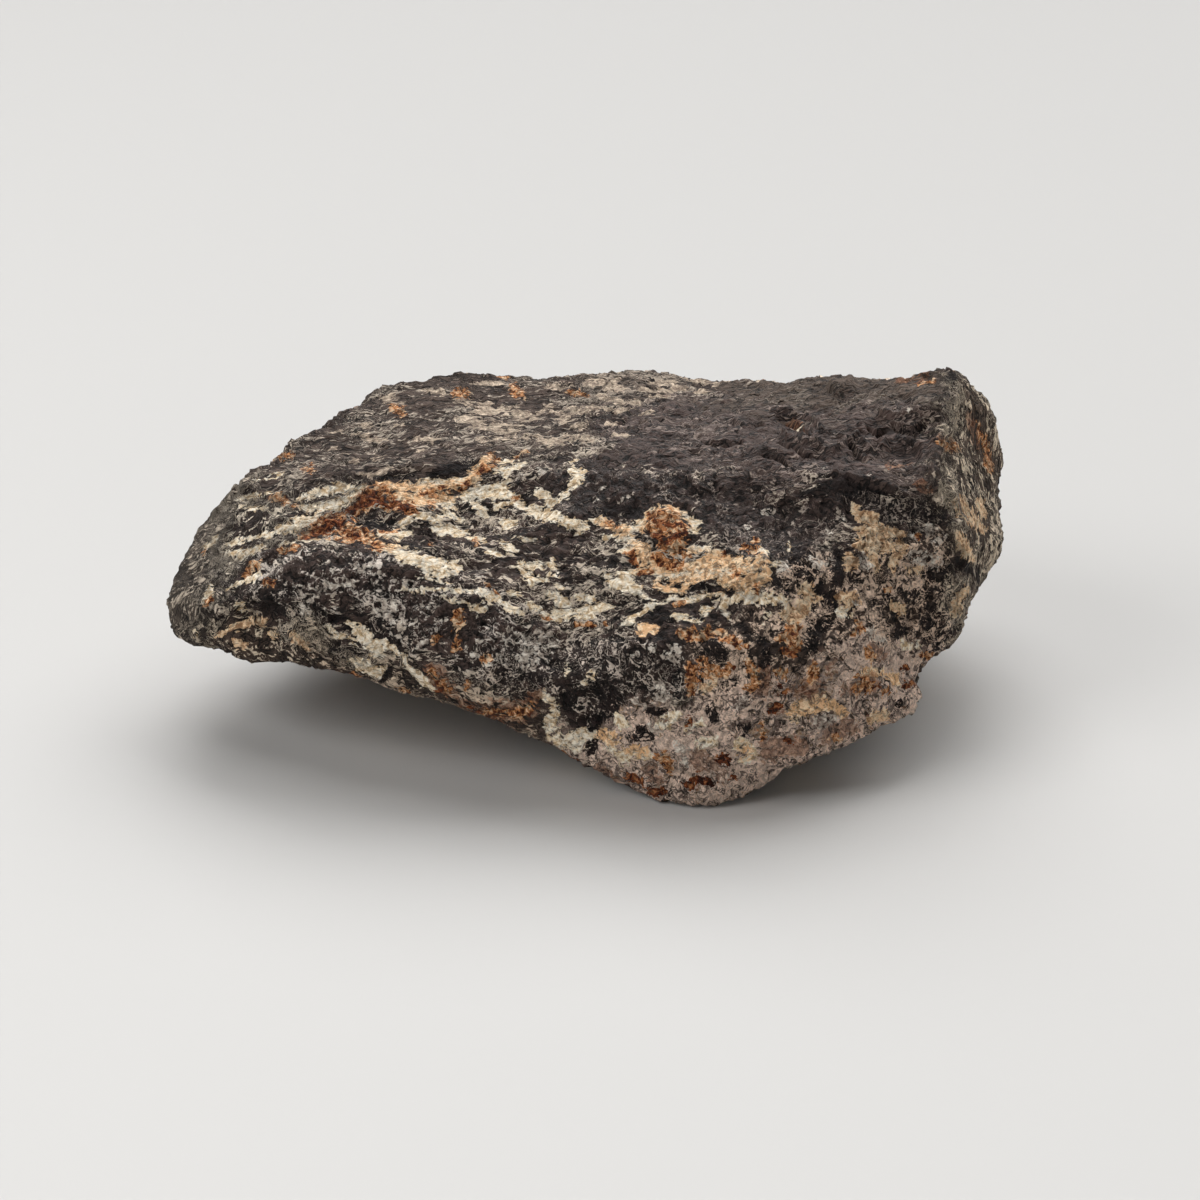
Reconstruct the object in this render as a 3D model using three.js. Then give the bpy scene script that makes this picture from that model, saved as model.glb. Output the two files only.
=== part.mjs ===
// A weathered stone meteorite (an ordinary chondrite), found as one whole angular stone.
// Millimetres, +Z up, +X to the right along its length, +Y to the back.
// The stone stands at z = 0 on the small flat spot worn under it.
//
// Its form is worked out in six steps: the corners where its broken faces meet, a skin stretched
// over them, wear that rounds the corners off, the relief of hollows, lumps and ledges, the flat
// spot below, and a move of at most a few millimetres that puts the origin under its middle.
import * as THREE from "three";
import { ConvexHull } from "three/addons/math/ConvexHull.js";
import { ImprovedNoise } from "three/addons/math/ImprovedNoise.js";
import { mergeVertices } from "three/addons/utils/BufferGeometryUtils.js";

const v = (x, y, z) => new THREE.Vector3(x, y, z);

// Driving dimensions, in millimetres.
const HEART = v(1.3, -1.1, 13); // every point of the skin can be seen from here
const HALF_SIZE = v(42, 31, 18); // half of the length, depth and height, for an even mesh
const SKIN_DETAIL = 21; // each of the 20 faces of the starting icosahedron gets (this + 1)^2 triangles
const WEAR_PASSES = 4;
const WEAR_IN = 0.5; // share of the way to the middle of its neighbours that a point moves in each pass
const WEAR_OUT = 0.52; // and back out again, so that wear rounds the edges and keeps the size

// The corners between the broken faces.
const CORNERS = {
  // the blunt left end
  leftEndTop: [-42.3, -4.1, 15.5],
  leftEndFront: [-43.6, -9.1, 13],
  leftEndLow: [-43.1, -10.6, 8.4],
  leftEndBack: [-40.7, 1.9, 11],
  leftEndUnder: [-36.7, -2.1, 6],
  // the rim behind the upper face, from left to right
  rimLeftLow: [-39.9, -0.1, 18.8],
  rimLeft: [-36.2, 3.9, 21.6],
  rimLeftCorner: [-30.7, 12.9, 22.3],
  rimNotch: [-26.7, 18.9, 23],
  rimBackCorner: [-24.2, 23.9, 23.3],
  rimBackA: [-16.7, 27.9, 24.1],
  rimBackB: [-4.2, 29.9, 23.4],
  rimBackC: [7.8, 28.9, 24],
  rimGap: [14.3, 25.9, 23.6],
  rimDarkA: [20.8, 21.9, 25.7],
  rimDarkB: [25.8, 17.9, 28],
  rimDarkC: [30.3, 13.9, 28.6],
  peak: [35.1, 5.9, 32.8],
  // the right end
  rightShoulder: [40.6, 7.9, 27.5],
  rightBulge: [43.1, 8.9, 20.5],
  rightNeck: [40.8, 4.9, 16],
  rightKnob: [42.1, 1.9, 14],
  rightLow: [39.3, -2.1, 12],
  rightBack: [39.8, 18.9, 17],
  rightBackLow: [33.3, 14.9, 6],
  // the right-hand underside
  underRightA: [35.8, -11.1, 9.5],
  underRightB: [32.6, -16.6, 9.3],
  underRightC: [30.3, -21.1, 6],
  underRightD: [25.3, -24.6, 6],
  underRightE: [20.3, -27.6, 4],
  // the nose that stands on the ground, and the left-hand underside
  noseRight: [12.8, -27.6, -0.3],
  nose: [8.8, -28.6, -0.3],
  noseLeft: [5.3, -27.6, -0.3],
  underLeftA: [-2.2, -25.6, 3.3],
  underLeftB: [-9.5, -24.6, 7],
  underLeftC: [-15.7, -22.6, 8.6],
  underLeftD: [-23.7, -20.6, 9.7],
  underLeftE: [-32.2, -16.6, 10],
  // the mound along the front edge, and the black face below it
  moundLeft: [-35.7, -16.1, 16],
  moundCrest: [-25.7, -17.1, 21.2],
  moundCrestRight: [-18.7, -18.1, 21.6],
  moundRight: [-13.7, -22.1, 19.5],
  frontEdgeA: [-28.2, -21.1, 15],
  frontEdgeB: [-16.7, -25.1, 14.5],
  frontEdgeC: [-4.7, -27.4, 12.4],
  frontEdgeD: [3.8, -29.6, 10.5],
  blackFaceTop: [3.8, -27.6, 17],
  // the trough, and the near edge of the upper face
  troughLeft: [-29.2, -9.1, 20.3],
  troughMid: [-14.2, -10.1, 20.5],
  troughRight: [0.3, -17.1, 20.5],
  troughEnd: [7.8, -22.1, 20],
  upperNearA: [-27.2, 0.9, 23],
  upperNearB: [-10.7, -0.1, 23.8],
  upperNearC: [-0.7, -9.1, 23.8],
  upperMidA: [-15.2, 12.9, 24],
  upperMidB: [0.3, 11.9, 24.2],
  // the raised dark mass on the right, and the corner edge below its peak
  darkNearA: [4.3, -8.1, 25.7],
  darkNearB: [15.8, -14.1, 25.3],
  darkNearC: [23.8, -14.1, 28.2],
  darkNearD: [29.8, -13.1, 26],
  darkTopA: [10.8, 8.9, 25.6],
  darkTopB: [22.8, 3.9, 27.4],
  cornerHigh: [34.9, 0.9, 32.2],
  cornerMid: [33.3, -12.1, 27.7],
  cornerLow: [35, -14.1, 22],
  cornerFoot: [36.3, -13.1, 14],
  // the ridge between the two front faces, and the right front face
  frontRidgeHigh: [16.3, -24.1, 23.3],
  frontRidgeMid: [16.6, -29.4, 17.6],
  frontRidgeLow: [13.3, -30.4, 10.6],
  frontRightHigh: [24.8, -21.1, 22.2],
  frontRightLow: [24.8, -25.7, 14.8],
  // the back face
  backHighLeft: [-25.7, 24.9, 16],
  backHighMid: [-4.7, 32.9, 15],
  backHighRight: [15.3, 29.9, 15],
  backHighEnd: [30.3, 21.9, 19],
  backLowLeft: [-28.7, 15.9, 8],
  backLowMid: [-6.7, 25.9, 4],
  backLowRight: [16.3, 22.9, 3],
  // the underside, whose middle is the flat spot
  footLeft: [-13.7, 0.9, 1.8],
  footBackLeft: [-8.7, 15.9, 2],
  footBackRight: [12.3, 14.9, 1.8],
  footRight: [23.3, -2.1, 2],
  footFrontRight: [19.3, -18.1, 1.4],
  footFrontLeft: [-3.7, -16.1, 1.6],
  footMidLeft: [-5.2, -0.1, -1],
  footMidBack: [3.3, 8.9, -1],
  footMidRight: [13.8, -0.1, -1],
  footMidFront: [8.3, -19.1, -1],
  underLeftFar: [-26.7, -2.1, 5],
};

// Knobs and ridges, and hollows and grooves, which stand out by less than nothing: the line that
// each follows, how far it reaches to the sides, and how much it stands out.
const FORMS = {
  // the trough, with the ledge behind it
  trough: { along: [[-8.7, -11.1, 21]], reach: 12, rise: -1.2 },
  plateauLedge: { along: [[-30, 1, 22], [-20, 1.5, 23.6], [-12, 5.5, 23.4]], reach: 3, rise: 0.5 },
  ledgeFoot: { along: [[-27, -5, 21.5], [-18, -4.5, 21.7], [-9, -1, 22.5]], reach: 3.5, rise: -0.5 },
  upperHollow: { along: [[-6.7, 16.9, 24]], reach: 9, rise: -0.9 },
  leftHollow: { along: [[-24.7, 6.9, 23]], reach: 8, rise: -0.7 },
  rustBall: { along: [[6.8, -16.1, 24]], reach: 3.2, rise: 1.1 },
  // the mound, and the lip below it
  mound: { along: [[-24.7, -19.6, 18]], reach: 9, rise: 0.9 },
  brow: { along: [[-33, -17, 17.5], [-24.5, -18.7, 20.2], [-18.7, -20, 20.3]], reach: 4, rise: 0.5 },
  moundGroove: {
    along: [[-36, -15.5, 13.6], [-31.5, -17.8, 14.7], [-26, -22.2, 16], [-20.5, -24.3, 15.4]],
    reach: 3.2,
    rise: -1.1,
  },
  lip: { along: [[-37.3, -14.7, 11.3], [-32.8, -16.7, 11], [-27.7, -19.5, 11.3]], reach: 3, rise: 0.8 },
  lipKnob: { along: [[-33.7, -15.9, 9.6]], reach: 3.5, rise: 0.9 },
  // the dark mass, with the dish in it and the corner beside it
  dish: { along: [[27.5, -7.5, 28]], reach: 8, rise: -1.8 },
  dishRim: {
    along: [[19.6, -14.2, 26.1], [23, -13.1, 27.7], [27.6, -14, 26.6], [32.5, -12.7, 26]],
    reach: 3,
    rise: 0.6,
  },
  darkHollow: { along: [[20.3, 4.5, 26.6]], reach: 6, rise: -1 },
  darkHollowBack: { along: [[29, -2, 29.3]], reach: 5.5, rise: -1 },
  darkFold: { along: [[20.5, -3, 27], [25, -2, 28], [30, -6.5, 29]], reach: 2.6, rise: 0.5 },
  cornerEdge: {
    along: [[35, 3.6, 31], [33.8, -4.6, 29.2], [32.9, -11.5, 27.3], [34.5, -12.8, 22.8], [34.8, -13.2, 20.6]],
    reach: 2.6,
    rise: 0.5,
  },
  rightFurrow: { along: [[37, 0, 29], [36.7, -7, 24], [37.4, -10, 18]], reach: 3, rise: -0.7 },
  peakKnob: { along: [[34.8, 6, 32]], reach: 3.5, rise: 0.9 },
  // steps and flakes along the edges
  rimStepLow: { along: [[-26.7, 17.5, 22.4]], reach: 3, rise: 0.8 },
  rimStepHigh: { along: [[-22.9, 24.1, 22.7]], reach: 4, rise: 0.8 },
  rightKnob: { along: [[40.5, -2, 15.2]], reach: 3, rise: 0.6 },
  flakeKnob: { along: [[30.5, -20.5, 7.3]], reach: 3.5, rise: 1.2 },
  // the broken front
  ringNodule: { along: [[11.6, -29.2, 16.8]], reach: 2.6, rise: 0.5 },
  blackHollow: { along: [[0, -27.5, 11]], reach: 5, rise: -0.7 },
  noseLip: { along: [[8.9, -28.2, 1.2]], reach: 3, rise: 0.4 },
  // the back and the underside
  backHollowLeft: { along: [[-15.7, 29.9, 14]], reach: 10, rise: -1.8 },
  backHollowRight: { along: [[20.3, 27.9, 12]], reach: 9, rise: -1.6 },
  backHollowLow: { along: [[3.3, 28.9, 8]], reach: 7, rise: -1.1 },
  backLedge: { along: [[-24, 26, 14], [-6, 31.5, 12], [10, 30, 13]], reach: 3.5, rise: 0.8 },
  backChip: { along: [[33, 20, 14]], reach: 7, rise: -1.2 },
  leftBackHollow: { along: [[-34, 8, 14]], reach: 7, rise: -0.9 },
  underHollow: { along: [[-21.7, -2.1, 4]], reach: 10, rise: -1.4 },
};

// Coarse to fine layers of crust lumps, each as the distance between lumps and their height.
const CRUST_LAYERS = [
  { spacing: 13, height: 0.7 },
  { spacing: 6, height: 0.5 },
  { spacing: 3.9, height: 0.22 },
];

const CRUST_SEED = v(35, 26.5, 5.3); // where the pattern of lumps starts, counted in lumps

// The cage: neighbouring corners as seen from the heart, joined by flat triangles.
function cage(corners) {
  const cornerOf = new Map();
  for (const [x, y, z] of Object.values(corners)) {
    const corner = v(x, y, z);
    cornerOf.set(corner.clone().sub(HEART).normalize(), corner);
  }
  const hull = new ConvexHull().setFromPoints([...cornerOf.keys()]);
  const points = [];
  for (const face of hull.faces) {
    for (let i = 0, edge = face.edge; i < 3; i++, edge = edge.next) {
      points.push(cornerOf.get(edge.vertex.point));
    }
  }
  const material = new THREE.MeshBasicMaterial({ side: THREE.DoubleSide });
  return new THREE.Mesh(new THREE.BufferGeometry().setFromPoints(points), material);
}

// An evenly divided ball whose points are moved out from the heart on to the cage.
function skinOver(cageMesh) {
  const ball = new THREE.IcosahedronGeometry(1, SKIN_DETAIL);
  ball.deleteAttribute("normal");
  ball.deleteAttribute("uv");
  const skin = mergeVertices(ball, 1e-4);
  const places = skin.getAttribute("position");
  const ray = new THREE.Raycaster();
  const direction = v(0, 0, 0);
  for (let i = 0; i < places.count; i++) {
    direction.fromBufferAttribute(places, i).multiply(HALF_SIZE).normalize();
    ray.set(HEART, direction);
    const { point } = ray.intersectObject(cageMesh)[0];
    places.setXYZ(i, point.x, point.y, point.z);
  }
  return skin;
}

// For each point of an indexed mesh, the numbers of the points that share an edge with it.
function neighboursOf(geometry) {
  const around = Array.from({ length: geometry.getAttribute("position").count }, () => new Set());
  const index = geometry.index.array;
  for (let i = 0; i < index.length; i += 3) {
    for (const [a, b] of [[0, 1], [1, 2], [2, 0]]) {
      around[index[i + a]].add(index[i + b]);
      around[index[i + b]].add(index[i + a]);
    }
  }
  return around;
}

// Moves every point a share of the way to the middle of its neighbours.
function relax(geometry, around, share) {
  const places = geometry.getAttribute("position");
  const moved = around.map((near, i) => {
    const middle = v(0, 0, 0);
    for (const j of near) middle.add(v(0, 0, 0).fromBufferAttribute(places, j));
    middle.divideScalar(near.size);
    return v(0, 0, 0).fromBufferAttribute(places, i).lerp(middle, share);
  });
  moved.forEach((p, i) => places.setXYZ(i, p.x, p.y, p.z));
}

// Rounds the corners and edges off, as weather and handling do.
function wear(geometry) {
  const around = neighboursOf(geometry);
  for (let pass = 0; pass < WEAR_PASSES; pass++) {
    relax(geometry, around, WEAR_IN);
    relax(geometry, around, -WEAR_OUT);
  }
}

// How far a point is from a line that runs through a list of places, or from a single place.
function distanceToLine(point, along) {
  const places = along.map((place) => v(...place));
  if (places.length === 1) return point.distanceTo(places[0]);
  const spans = places.slice(1).map((end, i) => new THREE.Line3(places[i], end));
  return Math.min(...spans.map((span) => point.distanceTo(span.closestPointToPoint(point, true, v(0, 0, 0)))));
}

// How much a form shows at a point: 1 along its line, falling smoothly to 0 at its reach.
function dome(point, { along, reach }) {
  const far = distanceToLine(point, along) / reach;
  return far < 1 ? (1 - far * far) ** 2 : 0;
}

// Rounded lumps with creases between them, as molten crust leaves.
const noise = new ImprovedNoise();
function crustLumps(point) {
  return CRUST_LAYERS.reduce((sum, { spacing, height }) => {
    const p = point.clone().divideScalar(spacing).add(CRUST_SEED);
    return sum + height * (2 * Math.abs(noise.noise(p.x, p.y, p.z)) - 0.5);
  }, 0);
}

// Moves each point in or out along the surface's normal.
function relief(geometry) {
  geometry.computeVertexNormals();
  const places = geometry.getAttribute("position");
  const normals = geometry.getAttribute("normal");
  for (let i = 0; i < places.count; i++) {
    const point = v(0, 0, 0).fromBufferAttribute(places, i);
    const normal = v(0, 0, 0).fromBufferAttribute(normals, i);
    let out = crustLumps(point);
    for (const form of Object.values(FORMS)) out += form.rise * dome(point, form);
    point.addScaledVector(normal, out);
    places.setXYZ(i, point.x, point.y, point.z);
  }
}

// Presses flat all that would be below the ground, which is the flat spot.
function pressFlat(geometry) {
  const places = geometry.getAttribute("position");
  for (let i = 0; i < places.count; i++) places.setZ(i, Math.max(places.getZ(i), 0));
}

// Moves the stone so that the origin is on the ground, under the middle of its length and depth.
function centre(geometry) {
  geometry.computeBoundingBox();
  const middle = geometry.boundingBox.getCenter(v(0, 0, 0));
  geometry.translate(-middle.x, -middle.y, 0);
}

const skin = skinOver(cage(CORNERS));
wear(skin);
relief(skin);
pressFlat(skin);
centre(skin);
skin.computeVertexNormals();

const crust = new THREE.MeshStandardMaterial({ color: "#4b4340", roughness: 0.75, metalness: 0 });
const stone = new THREE.Mesh(skin, crust);
stone.name = "meteorite_stone";

const meteorite = new THREE.Group();
meteorite.add(stone);
export default meteorite;
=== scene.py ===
# %% [markdown]
# # A weathered stone meteorite
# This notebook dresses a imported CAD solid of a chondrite: a stone that fell through the air,
# melted on its outside to a dark crust, broke, and then lay in a desert until lime and rust grew
# on it. The solid gives the size, the broken faces and the large hollows. All that is finer is
# made here, in this order: camera, floor and light; a fine skin over the solid; maps of where
# each kind of crust, stain and coating lies; relief; and one material that reads the maps.

import math

import bmesh
import bpy
import numpy as np
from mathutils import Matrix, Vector, noise


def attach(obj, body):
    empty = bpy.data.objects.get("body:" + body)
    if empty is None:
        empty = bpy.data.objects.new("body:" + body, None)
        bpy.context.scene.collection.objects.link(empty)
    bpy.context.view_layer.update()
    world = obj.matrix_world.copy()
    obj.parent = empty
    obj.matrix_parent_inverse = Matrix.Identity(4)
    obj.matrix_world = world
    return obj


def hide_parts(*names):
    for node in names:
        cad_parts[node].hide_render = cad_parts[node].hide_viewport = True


MM = 0.001  # Blender works in metres
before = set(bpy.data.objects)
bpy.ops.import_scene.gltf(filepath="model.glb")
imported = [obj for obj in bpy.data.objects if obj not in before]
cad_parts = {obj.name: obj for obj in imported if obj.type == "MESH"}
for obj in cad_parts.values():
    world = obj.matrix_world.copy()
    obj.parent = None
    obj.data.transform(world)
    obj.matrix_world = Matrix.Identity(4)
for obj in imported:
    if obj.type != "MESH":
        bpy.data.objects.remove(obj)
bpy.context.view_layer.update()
STONE_NODE = "meteorite_stone"

# %% [markdown]
# The camera looks slightly down on the stone, as one looks at a specimen on a table. A long lens
# from further away keeps the stone's proportions. It is made first, because the places of the
# stains and coatings are given as this camera sees them.

# %% Camera
PICTURE = 1200  # pixels on each side of the square picture
LENS, SENSOR = 90.0, 36.0  # mm, a portrait lens on a full-frame camera
AIM = Vector((0.65, -8.4, 12.0)) * MM
DISTANCE = 300 * MM
ELEVATION = math.radians(24)

forward = Vector((0, math.cos(ELEVATION), -math.sin(ELEVATION)))
upward = Vector((0, math.sin(ELEVATION), math.cos(ELEVATION)))
camera_data = bpy.data.cameras.new("camera")
camera_data.lens = LENS
camera_data.sensor_width = SENSOR
camera_data.clip_start, camera_data.clip_end = 0.02, 10
camera = bpy.data.objects.new("camera", camera_data)
camera.location = AIM - forward * DISTANCE
camera.rotation_euler = forward.to_track_quat("-Z", "Y").to_euler()
bpy.context.scene.collection.objects.link(camera)
bpy.context.scene.camera = camera


def in_picture(places):
    """The pixel at which the camera sees each place: x to the right and y down, from the top left."""
    away = places - np.array(camera.location)
    depth = away @ np.array(forward)
    zoom = LENS / SENSOR * PICTURE / depth
    return np.stack([PICTURE / 2 + zoom * away[:, 0], PICTURE / 2 - zoom * (away @ np.array(upward))], 1)


# %% [markdown]
# The floor is a sheet of matt pale grey paper that curves up into a wall all round, as photographers
# use, so that no horizon shows from any side.

# %% Floor
def linear(hex_colour):
    """The linear colour, with alpha 1, of an sRGB hex value such as "#c8b08a"."""
    parts = [int(hex_colour[i : i + 2], 16) / 255 for i in (1, 3, 5)]
    return [c / 12.92 if c <= 0.04045 else ((c + 0.055) / 1.055) ** 2.4 for c in parts] + [1.0]


FLOOR_REACH = 900 * MM
SWEEP_RADIUS = 400 * MM
WALL_HEIGHT = 450 * MM
CURVE_STEPS, ROUND_STEPS = 12, 64  # straight pieces in the curve of the sheet, and all the way round

profile = [(0.0, 0.0), (FLOOR_REACH * 0.5, 0.0)]
for step in range(CURVE_STEPS + 1):
    turn = math.radians(90 * step / CURVE_STEPS)
    profile.append((FLOOR_REACH + SWEEP_RADIUS * math.sin(turn), SWEEP_RADIUS * (1 - math.cos(turn))))
profile.append((FLOOR_REACH + SWEEP_RADIUS, WALL_HEIGHT))
sweep = bmesh.new()
line = [sweep.verts.new((x, 0, z)) for x, z in profile]
edges = [sweep.edges.new(pair) for pair in zip(line, line[1:])]
whole_turn = {"axis": (0, 0, 1), "cent": (0, 0, 0), "angle": 2 * math.pi, "steps": ROUND_STEPS}
bmesh.ops.spin(sweep, geom=line + edges, **whole_turn)
bmesh.ops.remove_doubles(sweep, verts=sweep.verts, dist=0.1 * MM)
bmesh.ops.recalc_face_normals(sweep, faces=sweep.faces)
floor_mesh = bpy.data.meshes.new("backdrop")
sweep.to_mesh(floor_mesh)
sweep.free()
for face in floor_mesh.polygons:
    face.use_smooth = True
floor = bpy.data.objects.new("backdrop", floor_mesh)
bpy.context.scene.collection.objects.link(floor)
paper = bpy.data.materials.new("matt_paper_sweep")
paper.use_nodes = True
paper_shader = paper.node_tree.nodes["Principled BSDF"]
paper_shader.inputs["Base Color"].default_value = linear("#cdccca")
paper_shader.inputs["Roughness"].default_value = 0.9
floor_mesh.materials.append(paper)

# %% [markdown]
# The stone lies in a bright room, with pale light from four sides: from high up, from behind, from
# behind on the right and, from a soft box, from the front on the left. Together they throw one
# broad soft shadow forwards and pick out the relief of the upper face. A sun lamp with a wide
# angle stands for each far window, as it lights stone and table evenly. The soft box is near, so
# the table darkens towards the back.

# %% Light
def hang(name, kind, compass, height, distance, settings):
    """A lamp that shines on the stone, at degrees from the back to the right and above the table."""
    lamp_data = bpy.data.lights.new(name, kind)
    for setting, value in settings.items():
        setattr(lamp_data, setting, value)
    tilt, turn = math.radians(90 - height), math.radians(180 - compass)
    lamp = bpy.data.objects.new(name, lamp_data)
    lamp.rotation_euler = (tilt, 0, turn)
    lamp.location = lamp.rotation_euler.to_matrix() @ Vector((0, 0, distance))
    bpy.context.scene.collection.objects.link(lamp)


hang("high_window", "SUN", -15, 68, 1.0, {"energy": 1.05, "angle": math.radians(40)})
hang("right_window", "SUN", 42, 45, 1.0, {"energy": 1.59, "angle": math.radians(45)})
hang("back_window", "SUN", -4, 39, 1.0, {"energy": 1.17, "angle": math.radians(30)})
hang("soft_box", "AREA", 246, 40, 0.7, {"energy": 1.76, "shape": "SQUARE", "size": 0.36})
world = bpy.data.worlds.new("room_air")
world.use_nodes = True
world.node_tree.nodes["Background"].inputs["Color"].default_value = linear("#fffaf7")
world.node_tree.nodes["Background"].inputs["Strength"].default_value = 0.10
bpy.context.scene.world = world
bpy.context.scene.view_settings.view_transform = "Standard"

# %% [markdown]
# The solid has about ten thousand flat triangles. A copy of it is rounded by subdivision and then
# remeshed to small even squares, because relief needs an even skin to move.

# %% Fine skin
SKIN_GRAIN = 0.27 * MM  # side of the squares

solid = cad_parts[STONE_NODE]
skin_mesh = solid.data.copy()
skin_mesh.materials.clear()
welded = bmesh.new()
welded.from_mesh(skin_mesh)
bmesh.ops.remove_doubles(welded, verts=welded.verts, dist=0.0001 * MM)
welded.to_mesh(skin_mesh)
welded.free()
stone = bpy.data.objects.new("stone", skin_mesh)
bpy.context.scene.collection.objects.link(stone)


def made_plain(thing, modifiers=()):
    """Adds modifiers, given as (kind, settings), and keeps what all of them make as the own mesh."""
    for kind, settings in modifiers:
        modifier = thing.modifiers.new(kind.lower(), kind)
        for name, value in settings.items():
            setattr(modifier, name, value)
    result = bpy.data.meshes.new_from_object(thing.evaluated_get(bpy.context.evaluated_depsgraph_get()))
    thing.modifiers.clear()
    thing.data = result
    return result


skin_mesh = made_plain(
    stone,
    [
        ("SUBSURF", {"levels": 2, "render_levels": 2}),
        ("REMESH", {"mode": "VOXEL", "voxel_size": SKIN_GRAIN}),
        ("SMOOTH", {"factor": 0.5, "iterations": 6}),
    ],
)


def read(mesh, what, name, width):
    """One row of numbers for each of a mesh's items, such as the co of its vertices."""
    values = np.empty(len(getattr(mesh, what)) * width, np.float32)
    getattr(mesh, what).foreach_get(name, values)
    return values.reshape(-1, width).astype(np.float64)


places = read(skin_mesh, "vertices", "co", 3)
outwards = read(skin_mesh, "vertex_normals", "vector", 3)
seen = in_picture(places)
towards_camera = np.array(camera.location) - places
towards_camera /= np.linalg.norm(towards_camera, axis=1)[:, None]
facing = (outwards * towards_camera).sum(1)  # 1 where the skin faces the camera, below 0 on the far side
print("skin:", len(skin_mesh.polygons), "squares,", round(float((facing > 0).mean()), 2), "in view")

# %% [markdown]
# The marks on the stone are drawn as a painter would: each is a line of places in the
# picture, x and y in pixels with the half-width there, that is carried on to the skin along the
# camera's line of sight. The upper face is seen at a slant, so a mark that looks thin there is
# as deep as it is wide on the stone. First come the areas, each fenced in by an outline of x and
# y, with a crust of its own.

# %% Areas of crust
AREA_OUTLINES = {
    "upper_face": [
        (236, 500), (262, 470), (300, 436), (356, 410), (366, 388), (440, 368), (520, 366), (600, 366),
        (668, 388), (640, 404), (590, 418), (606, 436), (566, 456), (505, 462), (470, 470), (400, 478),
        (340, 490), (296, 512), (250, 530),
    ],
    "pale_rim": [(560, 362), (668, 358), (738, 370), (728, 384), (660, 398), (600, 402), (574, 392)],
    "left_slope": [
        (205, 520), (238, 494), (300, 508), (345, 486), (352, 500), (322, 512), (298, 540), (252, 560),
        (226, 590), (212, 575),
    ],
    "left_end": [
        (150, 600), (170, 545), (200, 505), (228, 520), (214, 560), (212, 600), (222, 640), (200, 665),
        (155, 660),
    ],
    "dark_mass": [
        (590, 418), (650, 402), (735, 376), (800, 362), (840, 358), (900, 366), (944, 356), (952, 392),
        (938, 440), (938, 492), (912, 498), (868, 484), (840, 476), (822, 478), (796, 500), (745, 490),
        (690, 470), (640, 468), (588, 460), (606, 438),
    ],
    "brown_shoulder": [
        (735, 376), (800, 360), (840, 356), (900, 366), (944, 356), (952, 392), (940, 404), (880, 412),
        (800, 412), (720, 400), (690, 392),
    ],
    "charcoal_slope": [
        (560, 470), (598, 458), (640, 470), (690, 472), (745, 492), (796, 502), (824, 480), (842, 478),
        (870, 486), (912, 500), (938, 498), (950, 522), (900, 528), (840, 520), (822, 552), (815, 590),
        (775, 592), (768, 560), (735, 548), (700, 520), (668, 500), (640, 520), (560, 522), (552, 500),
    ],
    "mound": [
        (232, 580), (262, 556), (310, 544), (372, 552), (412, 572), (470, 590), (520, 610), (545, 640),
        (500, 672), (440, 660), (400, 628), (330, 604), (262, 600),
    ],
    # the groove under the mound's brow, whose near-black crust is partly painted shade
    "black_groove": [
        (222, 600), (262, 598), (310, 604), (352, 612), (400, 620), (412, 640), (400, 660), (372, 640),
        (340, 620), (300, 622), (240, 622),
    ],
    "black_face": [
        (545, 640), (600, 630), (690, 640), (694, 690), (664, 706), (630, 712), (600, 730), (586, 762),
        (566, 730), (552, 700), (470, 690), (480, 672),
    ],
    "lip": [(205, 626), (240, 614), (300, 622), (330, 648), (312, 672), (250, 672), (232, 655), (200, 655)],
    "lower_left_edge": [
        (312, 655), (340, 662), (385, 655), (420, 668), (470, 690), (560, 700), (560, 768), (480, 735),
        (400, 706), (330, 690),
    ],
    "broken_face": [
        (545, 695), (566, 730), (588, 762), (600, 728), (636, 706), (690, 700), (700, 640), (760, 600),
        (815, 592), (838, 560), (860, 560), (940, 540), (955, 560), (950, 640), (945, 670), (930, 730),
        (800, 785), (700, 820), (640, 815), (560, 775),
    ],
    "laced_crust": [
        (770, 562), (822, 552), (845, 562), (900, 536), (952, 528), (962, 560), (956, 636), (925, 645),
        (860, 640), (820, 655), (760, 690), (700, 690), (690, 640), (750, 600),
    ],
    "right_side": [
        (952, 392), (950, 350), (1025, 410), (1025, 570), (985, 640), (952, 660), (952, 560),
        (950, 522), (938, 492), (940, 440),
    ],
}
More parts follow.
